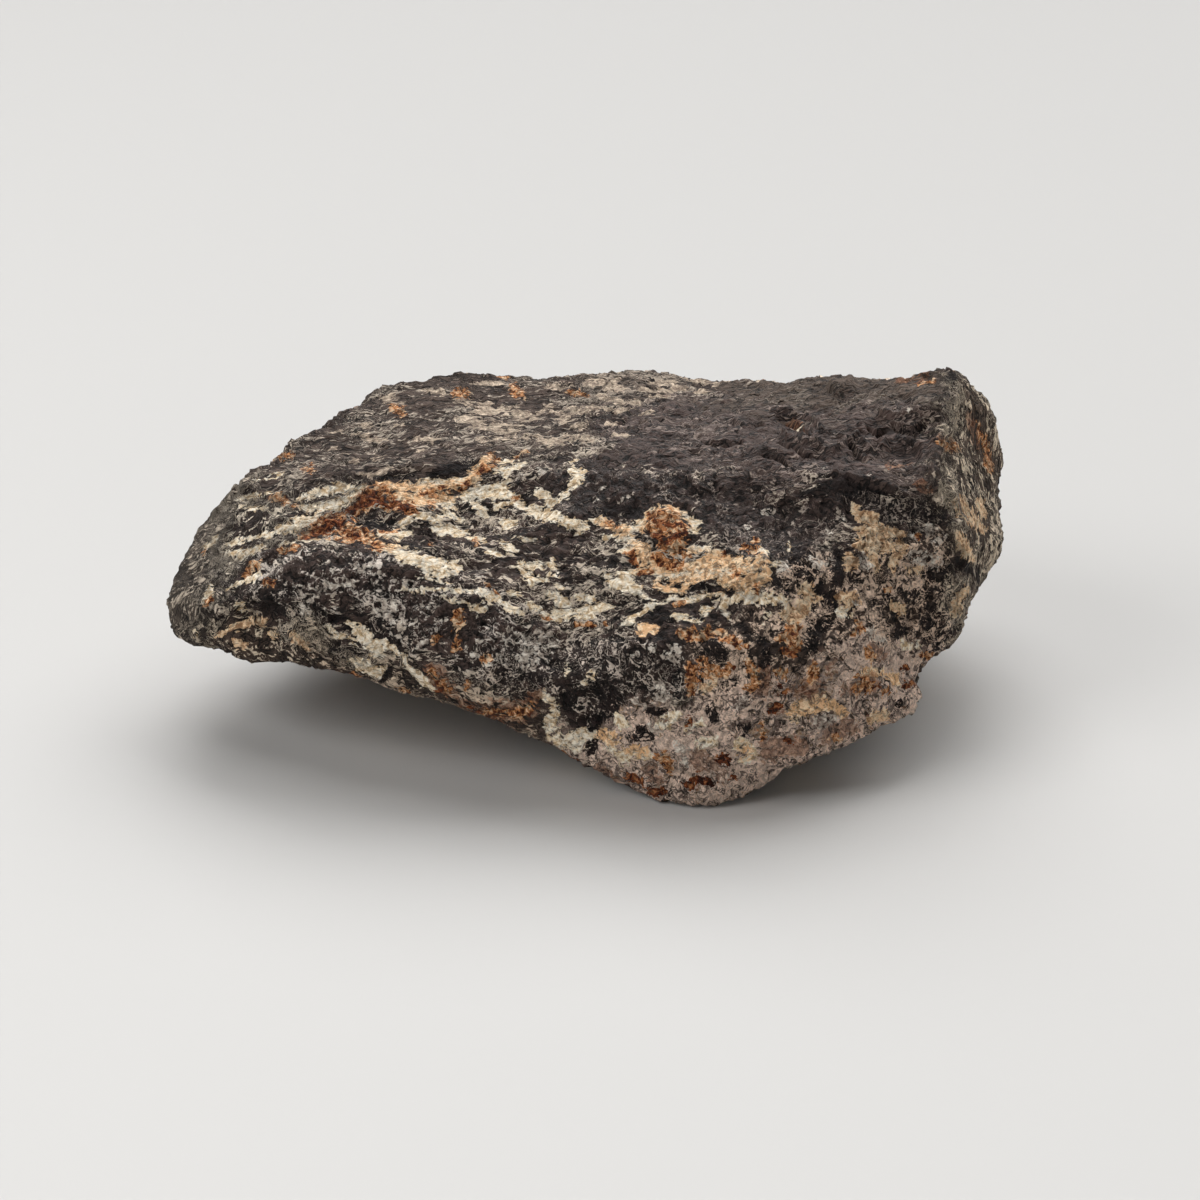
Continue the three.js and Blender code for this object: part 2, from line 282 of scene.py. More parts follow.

# What each area is like: the colour of its crust and of the lime film and veins on it, how many
# veins there are, how much the film covers (0 is half of it, -1 hardly any), how strong its painted
# shade and light and its tone are, how much of it is broken grains, how much it shines, the height in
# millimetres of its lumps, ledges, wrinkles and grit, how streaky it is and which way its streaks run.
LOOKS = (
    "crust", "fleck", "flecks", "veil", "contrast", "grains", "sheen",
    "lumps", "ledges", "wrinkles", "grit", "streaks", "run",
)
AREA_LOOKS = {
    "open_crust": ("#40332e", "#cfc0ae", 0.7, -0.8, 1.0, 0.0, 0.3, 0.20, 0.40, 0.35, 0.07, 0.8, (1, 0, 0)),
    "upper_face": ("#52453e", "#bbad9d", 0.6, -1.0, 0.9, 0.0, 0.2, 0.10, 0.22, 0.28, 0.04, 0.9, (1, 0.2, 0)),
    "pale_rim": ("#6a5d53", "#ae9f90", 0.8, -0.3, 0.8, 0.0, 0.1, 0.10, 0.22, 0.25, 0.05, 0.6, (1, 0, 0)),
    "left_slope": ("#403530", "#ddcfbb", 0.9, -0.4, 1.0, 0.0, 0.2, 0.12, 0.35, 0.3, 0.05, 0.9, (1, 0.8, 0.2)),
    "left_end": ("#4e453d", "#b8aa99", 0.8, -0.9, 1.0, 0.0, 0.2, 0.05, 0.12, 0.20, 0.03, 0.9, (0.3, 0.2, 1)),
    "dark_mass": ("#4c3e39", "#8f7f75", 0.5, -1.9, 0.8, 0.0, 0.6, 0.10, 0.30, 0.75, 0.04, 0.8, (1, 0, 0)),
    "brown_shoulder": ("#584b42", "#857a6e", 0.4, -1.9, 0.6, 0.0, 0.4, 0.1, 0.25, 0.55, 0.04, 0.8, (1, 0, 0)),
    "charcoal_slope": ("#382c28", "#a3958a", 0.5, -1.8, 1.0, 0.0, 0.6, 0.28, 0.3, 0.3, 0.1, 0.1, (1, 0, 0)),
    "mound": ("#40332e", "#dbcfc3", 0.8, -1.2, 1.0, 0.0, 0.3, 0.22, 0.40, 0.35, 0.08, 0.2, (1, 0, 0)),
    # the groove under the mound: its near-black crust is partly painted shade
    "black_groove": ("#241b18", "#c2b4a6", 0.6, -1.4, 1.0, 0.0, 0.3, 0.22, 0.35, 0.40, 0.08, 0.1, (1, 0, 0)),
    "black_face": ("#2c211d", "#d2c3b5", 0.6, -1.1, 1.0, 0.0, 0.4, 0.28, 0.30, 0.30, 0.10, 0.0, (1, 0, 0)),
    "lip": ("#43362e", "#dccab2", 0.9, -0.5, 1.0, 0.0, 0.1, 0.08, 0.20, 0.20, 0.04, 0.9, (1, 0.1, -0.1)),
    "lower_left_edge": (
        "#33261f", "#d2bda6", 0.8, -0.9, 1.1, 0.1, 0.1, 0.12, 0.25, 0.20, 0.06, 0.8, (1, -0.2, -0.3)
    ),
    "broken_face": ("#a0877a", "#e2c8b6", 0.8, 0.4, 0.7, 0.8, 0.1, 0.22, 0.25, 0.30, 0.10, 0.0, (0, 0, 1)),
    "laced_crust": ("#43362e", "#dfc4ae", 0.8, 0.0, 1.0, 0.0, 0.2, 0.24, 0.30, 0.30, 0.12, 0.0, (0, 0, 1)),
    "right_side": ("#57493f", "#e0ceb6", 0.9, -0.2, 1.0, 0.0, 0.2, 0.06, 0.14, 0.2, 0.04, 0.9, (0.1, 0.2, 1)),
}

# %% [markdown]
# Next come the coatings and stains. Cream lime has filled the hollows and rust has run out of grains
# of metal. Nearly black marks are partly bare black crust and partly painted shade, under the ledge
# of the plateau, under the ridge, in the groove under the mound and in the creases of the dark mass.

# %% Marks
LIME = {
    "lace_on_the_left_slope": [
        [(296, 499, 2), (312, 494, 4), (330, 489, 5), (345, 487, 5), (353, 486, 2)],
        [(297, 505, 2), (315, 507, 4), (335, 505, 5), (352, 499, 5), (362, 489, 4), (368, 486, 2)],
        [(291, 517, 2), (302, 519, 4), (312, 519, 4), (322, 514, 2)],
        [(254, 537, 2), (266, 533, 3.5), (280, 529, 4), (298, 526, 4), (316, 521, 2)],
        [(228, 545, 1.5), (240, 540, 4), (252, 537, 3), (262, 536, 1.5)],
        [(229, 551, 2), (240, 553, 4.5), (252, 551, 4), (264, 547, 2)],
        [(238, 499, 1.5), (250, 496, 3.5), (262, 494, 2), (272, 492, 1)],
        [(252, 480, 1.5), (268, 477, 2.5), (284, 474, 1.5)],
        [(236, 507, 1), (252, 508, 2.5), (266, 508, 2)],
        [(280, 545, 1.5), (300, 541, 2), (330, 538, 1.5)],
        [(225, 589, 1), (240, 583, 2.5), (254, 577, 4), (259, 572, 2)],
    ],
    "left_end": [
        [(203, 603, 2.5), (208, 594, 4.5), (211, 585, 2)],
        [(238, 606, 3), (239, 612, 3)],
        [(196, 633, 3)],
        [(205, 548, 2), (214, 542, 3), (217, 537, 2)],
    ],
    "below_the_mound": [
        [(342, 621, 2), (350, 625, 4), (358, 631, 6), (367, 638, 7), (374, 646, 7), (379, 655, 4)],
        [(349, 661, 2), (358, 664, 5), (368, 668, 6), (378, 673, 5), (384, 670, 3)],
        [(325, 626, 2), (332, 631, 3), (340, 636, 3), (350, 641, 3), (358, 645, 2)],
        [(380, 640, 3), (388, 648, 4), (396, 656, 4)],
        [(402, 659, 2), (412, 672, 4), (424, 682, 4), (436, 690, 3)],
    ],
    "trough_left_of_the_middle": [
        [(380, 483, 4), (398, 486, 8), (420, 486, 9), (445, 484, 9), (462, 480, 8), (476, 474, 7),
         (482, 464, 6), (490, 457, 3)],
        [(398, 497, 6), (420, 500, 8), (440, 498, 7), (452, 502, 5)],
        [(466, 496, 5), (480, 492, 7), (498, 490, 8), (512, 497, 6), (520, 500, 3)],
        [(496, 470, 4), (506, 472, 5), (514, 468, 3), (525, 462, 2)],
        [(472, 503, 3), (480, 509, 5), (486, 514, 2)],
        [(440, 516, 3), (452, 515, 4), (462, 520, 3)],
        [(498, 462, 2), (512, 461, 2)],
        [(378, 534, 2), (388, 534, 4), (400, 536, 4), (412, 530, 2)],
        [(396, 527, 4), (404, 522, 3), (412, 515, 3), (425, 517, 3), (440, 522, 2)],
        [(431, 527, 2), (443, 530, 5), (456, 532, 6), (466, 532, 3)],
        [(374, 551, 2), (386, 548, 4), (398, 551, 5), (410, 556, 6), (424, 563, 9), (440, 568, 10),
         (454, 570, 6), (461, 567, 3)],
        [(375, 540, 3), (382, 544, 3)],
        [(415, 577, 1.5), (440, 581, 2), (450, 582, 1)],
        [(447, 561, 1.5), (458, 560, 1.5)],
    ],
    "trough_in_the_middle": [
        [(497, 505, 3), (508, 502, 3), (518, 503, 4)],
        [(521, 506, 3), (532, 511, 5), (545, 513, 6), (556, 518, 6), (570, 524, 6), (583, 528, 4),
         (590, 528, 2)],
        [(538, 491, 4), (546, 496, 5), (550, 502, 4), (560, 500, 4), (568, 490, 4), (577, 480, 5),
         (582, 472, 4)],
        [(571, 470, 4), (578, 473, 5)],
        [(570, 463, 1.5), (576, 460, 1.5)],
        [(499, 521, 1.5), (508, 524, 5), (517, 525, 3)],
        [(514, 538, 1.5), (527, 538, 2.5), (538, 539, 1.5)],
        [(500, 543, 2), (507, 547, 5), (515, 549, 4), (511, 552, 3)],
        [(484, 552, 1), (492, 553, 3), (500, 555, 2)],
        [(470, 537, 2), (478, 539, 3), (485, 541, 2)],
        [(515, 567, 2), (524, 572, 5), (532, 578, 4), (545, 580, 3), (552, 575, 3), (562, 570, 1.5)],
        [(520, 564, 3), (532, 566, 3), (540, 563, 3)],
        [(552, 562, 3), (553, 568, 3)],
        [(550, 558, 2), (554, 560, 3)],
        [(573, 470, 2)],
    ],
    "rows_below_the_trough": [
        [(404, 588, 3), (414, 592, 3), (428, 589, 2), (445, 589, 2), (462, 590, 3), (480, 592, 4),
         (498, 596, 4)],
        [(440, 598, 2), (452, 601, 3), (464, 601, 2)],
        [(470, 605, 3), (476, 609, 4), (486, 609, 3)],
        [(487, 600, 4), (500, 603, 4), (510, 610, 4), (522, 614, 3)],
        [(511, 591, 3), (518, 594, 4)],
        [(529, 604, 3), (540, 611, 4), (552, 617, 4), (568, 620, 3)],
        [(549, 594, 3), (556, 597, 5), (564, 601, 4), (568, 608, 3)],
        [(580, 596, 4), (592, 598, 4)],
        [(556, 610, 4), (568, 613, 4), (580, 611, 5), (592, 609, 7), (603, 606, 5), (614, 606, 2)],
        [(580, 618, 2), (592, 617, 2)],
        [(557, 585, 3), (563, 588, 2)],
    ],
    "round_the_rust_ball": [
        [(590, 521, 2), (600, 521, 4), (612, 527, 4), (626, 530, 5), (638, 528, 5), (646, 520, 4),
         (651, 512, 3), (660, 508, 3), (672, 508, 3), (682, 513, 4), (692, 520, 4), (700, 522, 3)],
        [(603, 534, 2), (612, 537, 3), (626, 535, 4), (636, 542, 6), (644, 552, 7), (650, 562, 8)],
        [(620, 550, 3), (630, 548, 4)],
        [(650, 567, 6), (665, 568, 5), (682, 570, 5), (698, 566, 6), (715, 561, 8), (735, 565, 10),
         (750, 566, 8), (760, 562, 5)],
        [(690, 532, 4), (697, 528, 4)],
        [(640, 558, 7), (660, 573, 8), (690, 575, 8), (715, 572, 8), (742, 577, 8)],
        [(686, 550, 4), (700, 548, 5), (716, 550, 4)],
        [(604, 575, 2), (614, 582, 5), (624, 586, 7), (636, 588, 6), (643, 594, 2)],
        [(622, 573, 4), (636, 570, 4)],
        [(656, 582, 3), (662, 589, 5), (674, 592, 3), (684, 588, 3), (690, 580, 3), (698, 576, 3)],
        [(712, 572, 3), (722, 580, 6), (736, 584, 6), (752, 582, 8), (764, 578, 6), (766, 570, 4)],
        [(748, 592, 4), (760, 596, 5), (772, 598, 4), (786, 602, 4)],
        [(760, 549, 4), (768, 552, 3)],
        [(770, 563, 3), (782, 563, 4)],
    ],
    "under_the_rust_ball": [
        [(644, 596, 3), (656, 603, 3), (672, 598, 3), (690, 601, 4), (705, 596, 3), (722, 594, 2)],
        [(628, 618, 2), (640, 613, 3), (650, 606, 3)],
        [(620, 622, 1.5), (634, 622, 2)],
        [(644, 626, 5), (655, 628, 4), (641, 632, 3)],
        [(672, 614, 2), (684, 618, 4), (698, 620, 3)],
        [(702, 609, 3), (708, 608, 4), (703, 617, 2)],
        [(725, 600, 4), (742, 598, 5), (760, 600, 4), (780, 603, 3)],
        [(722, 608, 3), (728, 613, 3)],
        [(765, 617, 3), (769, 613, 3)],
        [(762, 623, 3)],
        [(790, 545, 3)],
    ],
    "black_face": [[(593, 672, 4), (590, 680, 4), (585, 684, 3)], [(566, 663, 2), (567, 676, 2)]],
    "broken_face": [
        [(545, 697, 5), (553, 704, 5), (556, 712, 4), (548, 722, 6), (552, 734, 7), (564, 742, 7),
         (576, 746, 8), (570, 738, 6)],
        [(580, 735, 5), (590, 738, 4)],
        [(603, 733, 7), (610, 742, 9), (614, 750, 7)],
        [(618, 722, 5), (626, 724, 4)],
        [(622, 757, 7), (636, 752, 6), (650, 756, 5)],
        [(658, 724, 4), (668, 722, 6), (676, 716, 4)],
        [(790, 712, 6), (796, 718, 5), (800, 706, 6)],
        [(812, 706, 8), (828, 704, 6), (842, 712, 5)],
        [(866, 674, 5), (880, 672, 5)],
        [(893, 678, 5), (900, 684, 4)],
        [(905, 646, 5), (918, 645, 4)],
        [(838, 612, 4), (850, 616, 4)],
        [(740, 745, 6), (752, 752, 6), (744, 763, 4)],
        [(702, 745, 5), (712, 742, 5)],
        [(688, 728, 5), (700, 724, 4)],
    ],
}
DUST = {
    "rear_of_the_upper_face": [
        [(380, 397, 1), (390, 397, 3), (399, 399, 1.5)],
        [(384, 401, 1.5), (404, 402, 1.5)],
        [(423, 389, 1.5), (434, 391, 3), (446, 392, 2)],
        [(456, 399, 2), (468, 396, 3), (473, 391, 2)],
        [(450, 402, 1), (468, 403, 2), (484, 405, 3), (492, 402, 1.5)],
        [(454, 418, 2), (466, 420, 4), (480, 424, 5), (495, 428, 6), (512, 428, 5), (521, 426, 2)],
        [(470, 414, 2), (484, 409, 3), (496, 412, 3)],
        [(500, 408, 3), (514, 410, 4), (522, 417, 5), (534, 416, 4), (540, 412, 1.5)],
        [(541, 411, 1.5), (549, 406, 3), (556, 412, 3), (563, 411, 2)],
        [(560, 418, 4), (566, 418, 4)],
        [(568, 408, 2), (577, 411, 4), (587, 410, 3.5), (592, 406, 2)],
        [(571, 427, 1.5), (579, 426, 3), (588, 424, 1.5)],
        [(585, 382, 3), (595, 382, 4), (606, 381, 2)],
        [(598, 394, 2), (608, 399, 3), (622, 402, 2), (640, 401, 2)],
        [(548, 386, 2), (560, 387, 3), (572, 386, 2)],
        [(640, 390, 2), (655, 391, 2), (672, 390, 2.5), (686, 387, 2)],
        [(664, 366, 2), (684, 374, 4), (700, 380, 4), (716, 384, 3)],
        [(650, 384, 2), (662, 383, 3), (676, 382, 2)],
        [(620, 378, 2), (606, 386, 4), (622, 388, 3)],
        [(696, 392, 2), (706, 391, 2)],
        [(470, 383, 1), (490, 382, 2), (505, 384, 1)],
    ],
    "middle_of_the_upper_face": [
        [(414, 438, 1.5), (428, 440, 3), (441, 439, 2)],
        [(350, 462, 1), (356, 461, 2.5), (360, 459, 1)],
        [(372, 458, 1.5), (380, 457, 2.5), (386, 456, 1)],
        [(379, 470, 1), (388, 468, 2), (395, 464, 1)],
        [(362, 437, 2), (366, 439, 3), (377, 441, 2.5), (386, 440, 1.5)],
        [(416, 451, 1.5), (424, 451, 1.5)],
        [(478, 439, 2), (487, 441, 2.5), (500, 436, 3), (516, 437, 3)],
        [(521, 437, 2), (530, 436, 2), (540, 434, 1.5)],
        [(537, 436, 2), (544, 441, 3), (556, 440, 2), (575, 438, 2), (588, 439, 2.5), (596, 440, 1)],
        [(566, 437, 3), (576, 436, 3), (586, 434, 2)],
        [(549, 446, 1.5), (562, 444, 1.5)],
        [(395, 425, 2), (404, 424, 2)],
        [(364, 426, 2.5), (372, 426, 2.5)],
        [(332, 433, 1.5), (343, 432, 2)],
        [(352, 432, 1.5), (358, 432, 1.5)],
        [(328, 447, 1.5), (336, 447, 2)],
        [(343, 452, 2), (350, 452, 1.5)],
        [(362, 473, 1.5), (372, 475, 2), (384, 472, 1.5)],
    ],
    "fading_into_the_dark_mass": [
        [(598, 408, 1.5), (616, 410, 2), (634, 408, 1.5)],
        [(604, 422, 1.5), (622, 424, 1.5)],
        [(650, 397, 1.5), (668, 396, 1.5)],
        [(612, 434, 1), (628, 433, 1.5)],
        [(640, 412, 1), (654, 410, 1)],
    ],
}
PALE = {
    "mound": [
        [(297, 590, 4), (303, 594, 6), (310, 600, 4)],
        [(312, 596, 4), (322, 589, 6), (335, 585, 6)],
        [(342, 583, 3), (350, 582, 4.5), (356, 583, 2)],
        [(296, 608, 2), (303, 611, 5), (309, 616, 2)],
        [(278, 604, 2), (284, 607, 3)],
        [(323, 608, 2.5)],
        [(334, 611, 3.5), (340, 610, 2)],
        [(365, 592, 3), (371, 594, 2)],
        [(321, 564, 2.5), (330, 562, 2)],
        [(350, 561, 2), (360, 565, 4), (370, 568, 4), (380, 571, 2)],
        [(330, 570, 2), (338, 574, 3)],
        [(249, 604, 2)],
    ],
    "right_of_the_mound": [
        [(380, 600, 3), (388, 603, 5), (394, 606, 3)],
        [(396, 608, 4), (402, 611, 3)],
        [(375, 612, 4), (385, 616, 5), (395, 620, 4)],
        [(404, 622, 4), (413, 623, 5), (419, 625, 2)],
        [(392, 636, 3), (398, 639, 2.5)],
        [(421, 606, 2), (430, 607, 3.5), (436, 604, 2)],
        [(438, 620, 2), (448, 618, 2)],
        [(418, 648, 3), (424, 645, 5), (428, 641, 2)],
        [(405, 645, 3)],
        [(408, 654, 3), (415, 655, 2)],
        [(400, 580, 3), (410, 583, 4)],
        [(396, 588, 3)],
        [(502, 634, 3), (505, 641, 4), (508, 645, 2)],
        [(512, 632, 4), (516, 638, 4)],
        [(522, 640, 6), (530, 644, 7), (540, 646, 6), (552, 644, 5)],
        [(522, 655, 6), (532, 657, 8), (541, 656, 5)],
        [(538, 632, 3), (548, 637, 5), (556, 640, 4)],
        [(525, 668, 3), (532, 670, 3)],
        [(500, 657, 3), (504, 661, 3)],
        [(480, 640, 3), (486, 642, 3)],
        [(468, 648, 3), (474, 655, 5), (482, 663, 4), (490, 664, 4)],
        [(487, 574, 2), (478, 573, 3)],
        [(545, 623, 4)],
    ],
    "black_face": [
        [(577, 684, 3), (575, 688, 2)],
        [(648, 645, 4), (652, 648, 4)],
        [(634, 655, 3), (640, 657, 2)],
        [(617, 655, 3)],
        [(668, 655, 5), (676, 657, 6), (682, 660, 4)],
        [(672, 645, 3), (678, 648, 3)],
        [(596, 668, 3), (602, 667, 3)],
        [(655, 684, 3), (662, 688, 4), (668, 696, 3)],
        [(656, 698, 3), (664, 698, 3)],
        [(632, 682, 3)],
        [(636, 704, 4), (644, 708, 4)],
    ],
    "charcoal_slope": [
        [(763, 511, 2), (772, 510, 3)],
        [(748, 525, 2.5)],
        [(617, 493, 2)],
        [(630, 494, 2.5), (628, 497, 2)],
        [(793, 522, 3)],
        [(600, 489, 2), (603, 486, 2)],
        [(540, 470, 3), (545, 474, 2)],
        [(525, 474, 3), (516, 478, 2)],
        [(596, 499, 2)],
        [(619, 501, 2)],
    ],
    "dark_mass": [[(823, 465, 1.5)], [(868, 478, 2)], [(910, 411, 3)], [(880, 478, 1.5)]],
    "right_of_the_slope": [
        [(784, 565, 5)],
        [(812, 560, 4), (820, 565, 5)],
        [(832, 560, 4)],
        [(856, 603, 3)],
        [(780, 573, 3)],
        [(826, 532, 4), (832, 538, 3)],
        [(838, 512, 3), (842, 518, 3)],
        [(913, 535, 4), (932, 528, 4)],
        [(935, 540, 4), (945, 536, 4)],
        [(914, 556, 5), (925, 560, 7), (936, 562, 6)],
        [(862, 556, 3), (866, 566, 5)],
    ],
    "broken_face": [
        [(680, 745, 5), (690, 752, 6), (684, 765, 5)],
        [(700, 760, 4), (712, 765, 4)],
        [(712, 772, 4), (726, 776, 4)],
        [(735, 706, 4), (745, 700, 4)],
        [(820, 722, 6), (828, 728, 5), (834, 716, 4)],
        [(870, 632, 5), (880, 640, 4)],
        [(660, 735, 4), (650, 728, 4)],
    ],
}
TAN = {
    "patch_below_the_ridge": [
        [(855, 505, 3), (860, 514, 5), (868, 522, 6)],
        [(862, 530, 5), (876, 533, 8), (892, 532, 6), (902, 534, 4)],
        [(860, 544, 5), (874, 545, 9), (888, 546, 8)],
        [(898, 542, 5), (902, 550, 5), (894, 560, 6), (892, 568, 5)],
        [(866, 512, 3), (874, 518, 4)],
        [(848, 556, 4), (853, 562, 6), (849, 568, 4)],
        [(872, 562, 3), (878, 568, 5)],
        [(912, 572, 4), (920, 570, 4)],
    ],
    "right_side": [
        [(962, 500, 4), (968, 512, 6), (974, 522, 5), (984, 530, 4)],
        [(958, 535, 4), (964, 545, 7), (968, 552, 7), (974, 560, 3)],
        [(980, 500, 3), (984, 515, 4)],
        [(966, 590, 4), (958, 600, 6), (955, 612, 5)],
    ],
    "broken_face": [
        [(806, 590, 6), (812, 598, 7), (806, 606, 6), (798, 614, 6)],
        [(842, 598, 6), (852, 600, 7), (848, 608, 5)],
        [(785, 615, 5), (794, 620, 6), (790, 608, 4)],
        [(893, 605, 4), (904, 612, 6)],
        [(812, 704, 8), (824, 700, 6)],
        [(872, 720, 5), (886, 714, 5)],
        [(757, 602, 3)],
        [(704, 690, 6), (712, 684, 5)],
        [(690, 600, 3)],
    ],
    "lip": [
        [(218, 636, 2), (234, 628, 4), (250, 622, 4), (262, 624, 3)],
        [(236, 642, 4), (244, 646, 4)],
        [(270, 634, 4), (276, 636, 3)],
        [(292, 634, 3), (300, 642, 4), (306, 648, 3)],
    ],
}
RUST = {
    "left": [
        [(300, 537, 2), (312, 531, 7), (326, 526, 10), (336, 519, 6), (346, 514, 3)],
        [(338, 528, 7), (352, 533, 7), (366, 538, 7), (378, 546, 6)],
        [(352, 512, 5), (362, 503, 8), (370, 494, 8), (382, 489, 6), (390, 495, 5)],
        [(386, 505, 6), (400, 505, 7), (412, 508, 6)],
        [(384, 530, 3), (396, 529, 3)],
    ],
    "in_the_lime": [
        [(422, 490, 3), (434, 494, 4), (431, 505, 4)],
        [(440, 487, 3), (448, 490, 3)],
        [(461, 489, 3), (467, 484, 3)],
        [(517, 499, 3), (510, 497, 2)],
        [(490, 455, 3), (498, 459, 2)],
        [(484, 466, 4), (480, 474, 3), (496, 464, 3)],
        [(475, 472, 3)],
        [(476, 539, 2), (472, 541, 1.5)],
    ],
    "spots_on_the_upper_face": [
        [(514, 388, 4), (520, 392, 4), (524, 397, 2)],
        [(496, 373, 2), (505, 373, 4), (511, 376, 2)],
        [(452, 392, 2), (460, 393, 5), (468, 393, 4)],
        [(393, 408, 4), (400, 411, 5), (403, 414, 3)],
        [(568, 391, 2), (577, 393, 3), (587, 396, 1.5)],
        [(280, 455, 4), (290, 455, 4)],
        [(304, 469, 2), (311, 468, 4)],
        [(272, 498, 3), (280, 498, 5), (286, 501, 3)],
        [(296, 504, 3)],
        [(280, 551, 2), (290, 549, 3), (298, 546, 2)],
        [(244, 575, 2), (252, 567, 4), (259, 562, 3)],
        [(204, 553, 3)],
        [(528, 450, 1.5), (520, 454, 2), (512, 458, 1.5)],
    ],
    "spots_below_the_trough": [
        [(430, 545, 3)],
        [(540, 614, 1), (548, 617, 2), (555, 620, 1)],
        [(573, 624, 1), (584, 624, 2), (594, 624, 1.5)],
        [(604, 623, 2), (609, 622, 1)],
        [(460, 612, 4), (457, 620, 5), (456, 628, 4)],
        [(438, 636, 3), (432, 641, 4)],
        [(459, 641, 4), (454, 649, 3)],
        [(487, 656, 4), (481, 661, 3)],
        [(468, 682, 4), (467, 687, 3)],
        [(487, 584, 2), (494, 590, 2), (500, 593, 2)],
        [(472, 602, 2)],
        [(478, 545, 2)],
    ],
    "lower_left_edge": [
        [(430, 671, 2), (442, 683, 3), (449, 690, 3)],
        [(486, 711, 3), (505, 713, 4), (520, 714, 5), (532, 706, 4)],
        [(398, 693, 4), (406, 692, 3)],
        [(352, 676, 3), (364, 682, 3)],
    ],
    "round_the_rust_ball": [
        [(655, 518, 6), (664, 514, 6), (674, 518, 6), (682, 528, 6), (684, 540, 6), (676, 548, 6),
         (662, 546, 5)],
        [(656, 530, 8), (668, 530, 10)],
        [(628, 553, 3), (634, 560, 3)],
        [(655, 556, 4), (668, 564, 5), (682, 566, 4)],
        [(640, 574, 3), (650, 570, 4)],
        [(745, 548, 4), (752, 550, 4), (757, 540, 4)],
        [(738, 576, 5), (732, 570, 4)],
        [(757, 583, 3), (758, 592, 3)],
        [(676, 603, 3), (684, 603, 3)],
        [(608, 524, 3), (618, 527, 3)],
        [(682, 551, 3), (690, 556, 3)],
        [(724, 553, 3)],
    ],
    "ring_nodule": [
        [(681, 634, 4), (688, 636, 6), (692, 630, 4)],
        [(702, 637, 4), (708, 631, 5), (720, 632, 4), (730, 637, 5), (737, 645, 4)],
        [(700, 660, 3), (708, 663, 4), (712, 672, 5), (722, 675, 5), (730, 668, 3)],
        [(706, 676, 3)],
        [(690, 664, 3), (692, 674, 5), (693, 684, 5), (690, 694, 4)],
        [(748, 662, 3), (752, 672, 5), (757, 682, 4), (750, 690, 4)],
        [(747, 645, 3)],
    ],
    "broken_face": [
        [(782, 638, 6), (792, 637, 7), (798, 645, 5), (788, 652, 5)],
        [(788, 626, 4), (797, 628, 4)],
        [(778, 672, 4), (784, 676, 4)],
        [(812, 666, 4), (816, 674, 5), (810, 680, 3)],
        [(860, 680, 5), (868, 686, 6), (858, 690, 5)],
        [(868, 650, 4), (872, 656, 4)],
        [(857, 620, 3), (860, 628, 4), (853, 634, 3)],
        [(884, 690, 5)],
        [(920, 536, 3)],
        [(890, 590, 3)],
        [(762, 728, 4), (764, 736, 4)],
        [(660, 756, 5), (668, 764, 6), (670, 773, 3)],
        [(836, 738, 4)],
        [(924, 655, 4), (936, 658, 3)],
    ],
    "right_side": [
        [(918, 384, 1.5), (934, 379, 2.5)],
        [(938, 445, 2), (948, 442, 2.5), (956, 448, 4)],
        [(978, 424, 3), (984, 440, 4), (988, 455, 4), (992, 470, 3)],
    ],
    "left_end": [[(203, 605, 2), (210, 597, 2)], [(263, 583, 3), (272, 583, 4)]],
}
DEEP_RUST = {
    "left": [
        [(396, 503, 4), (404, 507, 5), (411, 506, 3)],
        [(364, 494, 3), (372, 492, 3)],
        [(306, 537, 3), (316, 532, 5), (328, 528, 6), (338, 523, 5)],
        [(350, 511, 4), (360, 503, 5), (370, 496, 6), (382, 500, 5), (392, 506, 4)],
        [(346, 531, 4), (358, 535, 3)],
    ],
    "rust_ball": [
        [(658, 538, 3), (668, 544, 4), (680, 540, 3), (682, 532, 2)],
        [(654, 522, 2), (664, 528, 4), (676, 526, 3)],
        [(632, 556, 4), (637, 562, 3)],
        [(660, 562, 3)],
    ],
    "broken_face": [
        [(785, 738, 3), (791, 741, 4)],
        [(722, 758, 5), (728, 764, 4)],
        [(688, 786, 5), (700, 780, 5), (712, 783, 4)],
        [(736, 776, 3), (730, 780, 3)],
        [(628, 777, 4), (640, 782, 4)],
        [(690, 720, 3), (688, 728, 3)],
        [(783, 650, 4), (794, 655, 3)],
        [(774, 710, 4), (780, 706, 3)],
        [(905, 686, 3), (914, 683, 3)],
        [(880, 688, 3)],
        [(650, 790, 4), (664, 792, 4)],
        [(782, 690, 4)],
        [(905, 668, 3)],
    ],
    "lower_left_edge": [[(438, 690, 3)], [(470, 707, 2), (480, 711, 2)], [(503, 716, 2)], [(540, 705, 3)]],
}
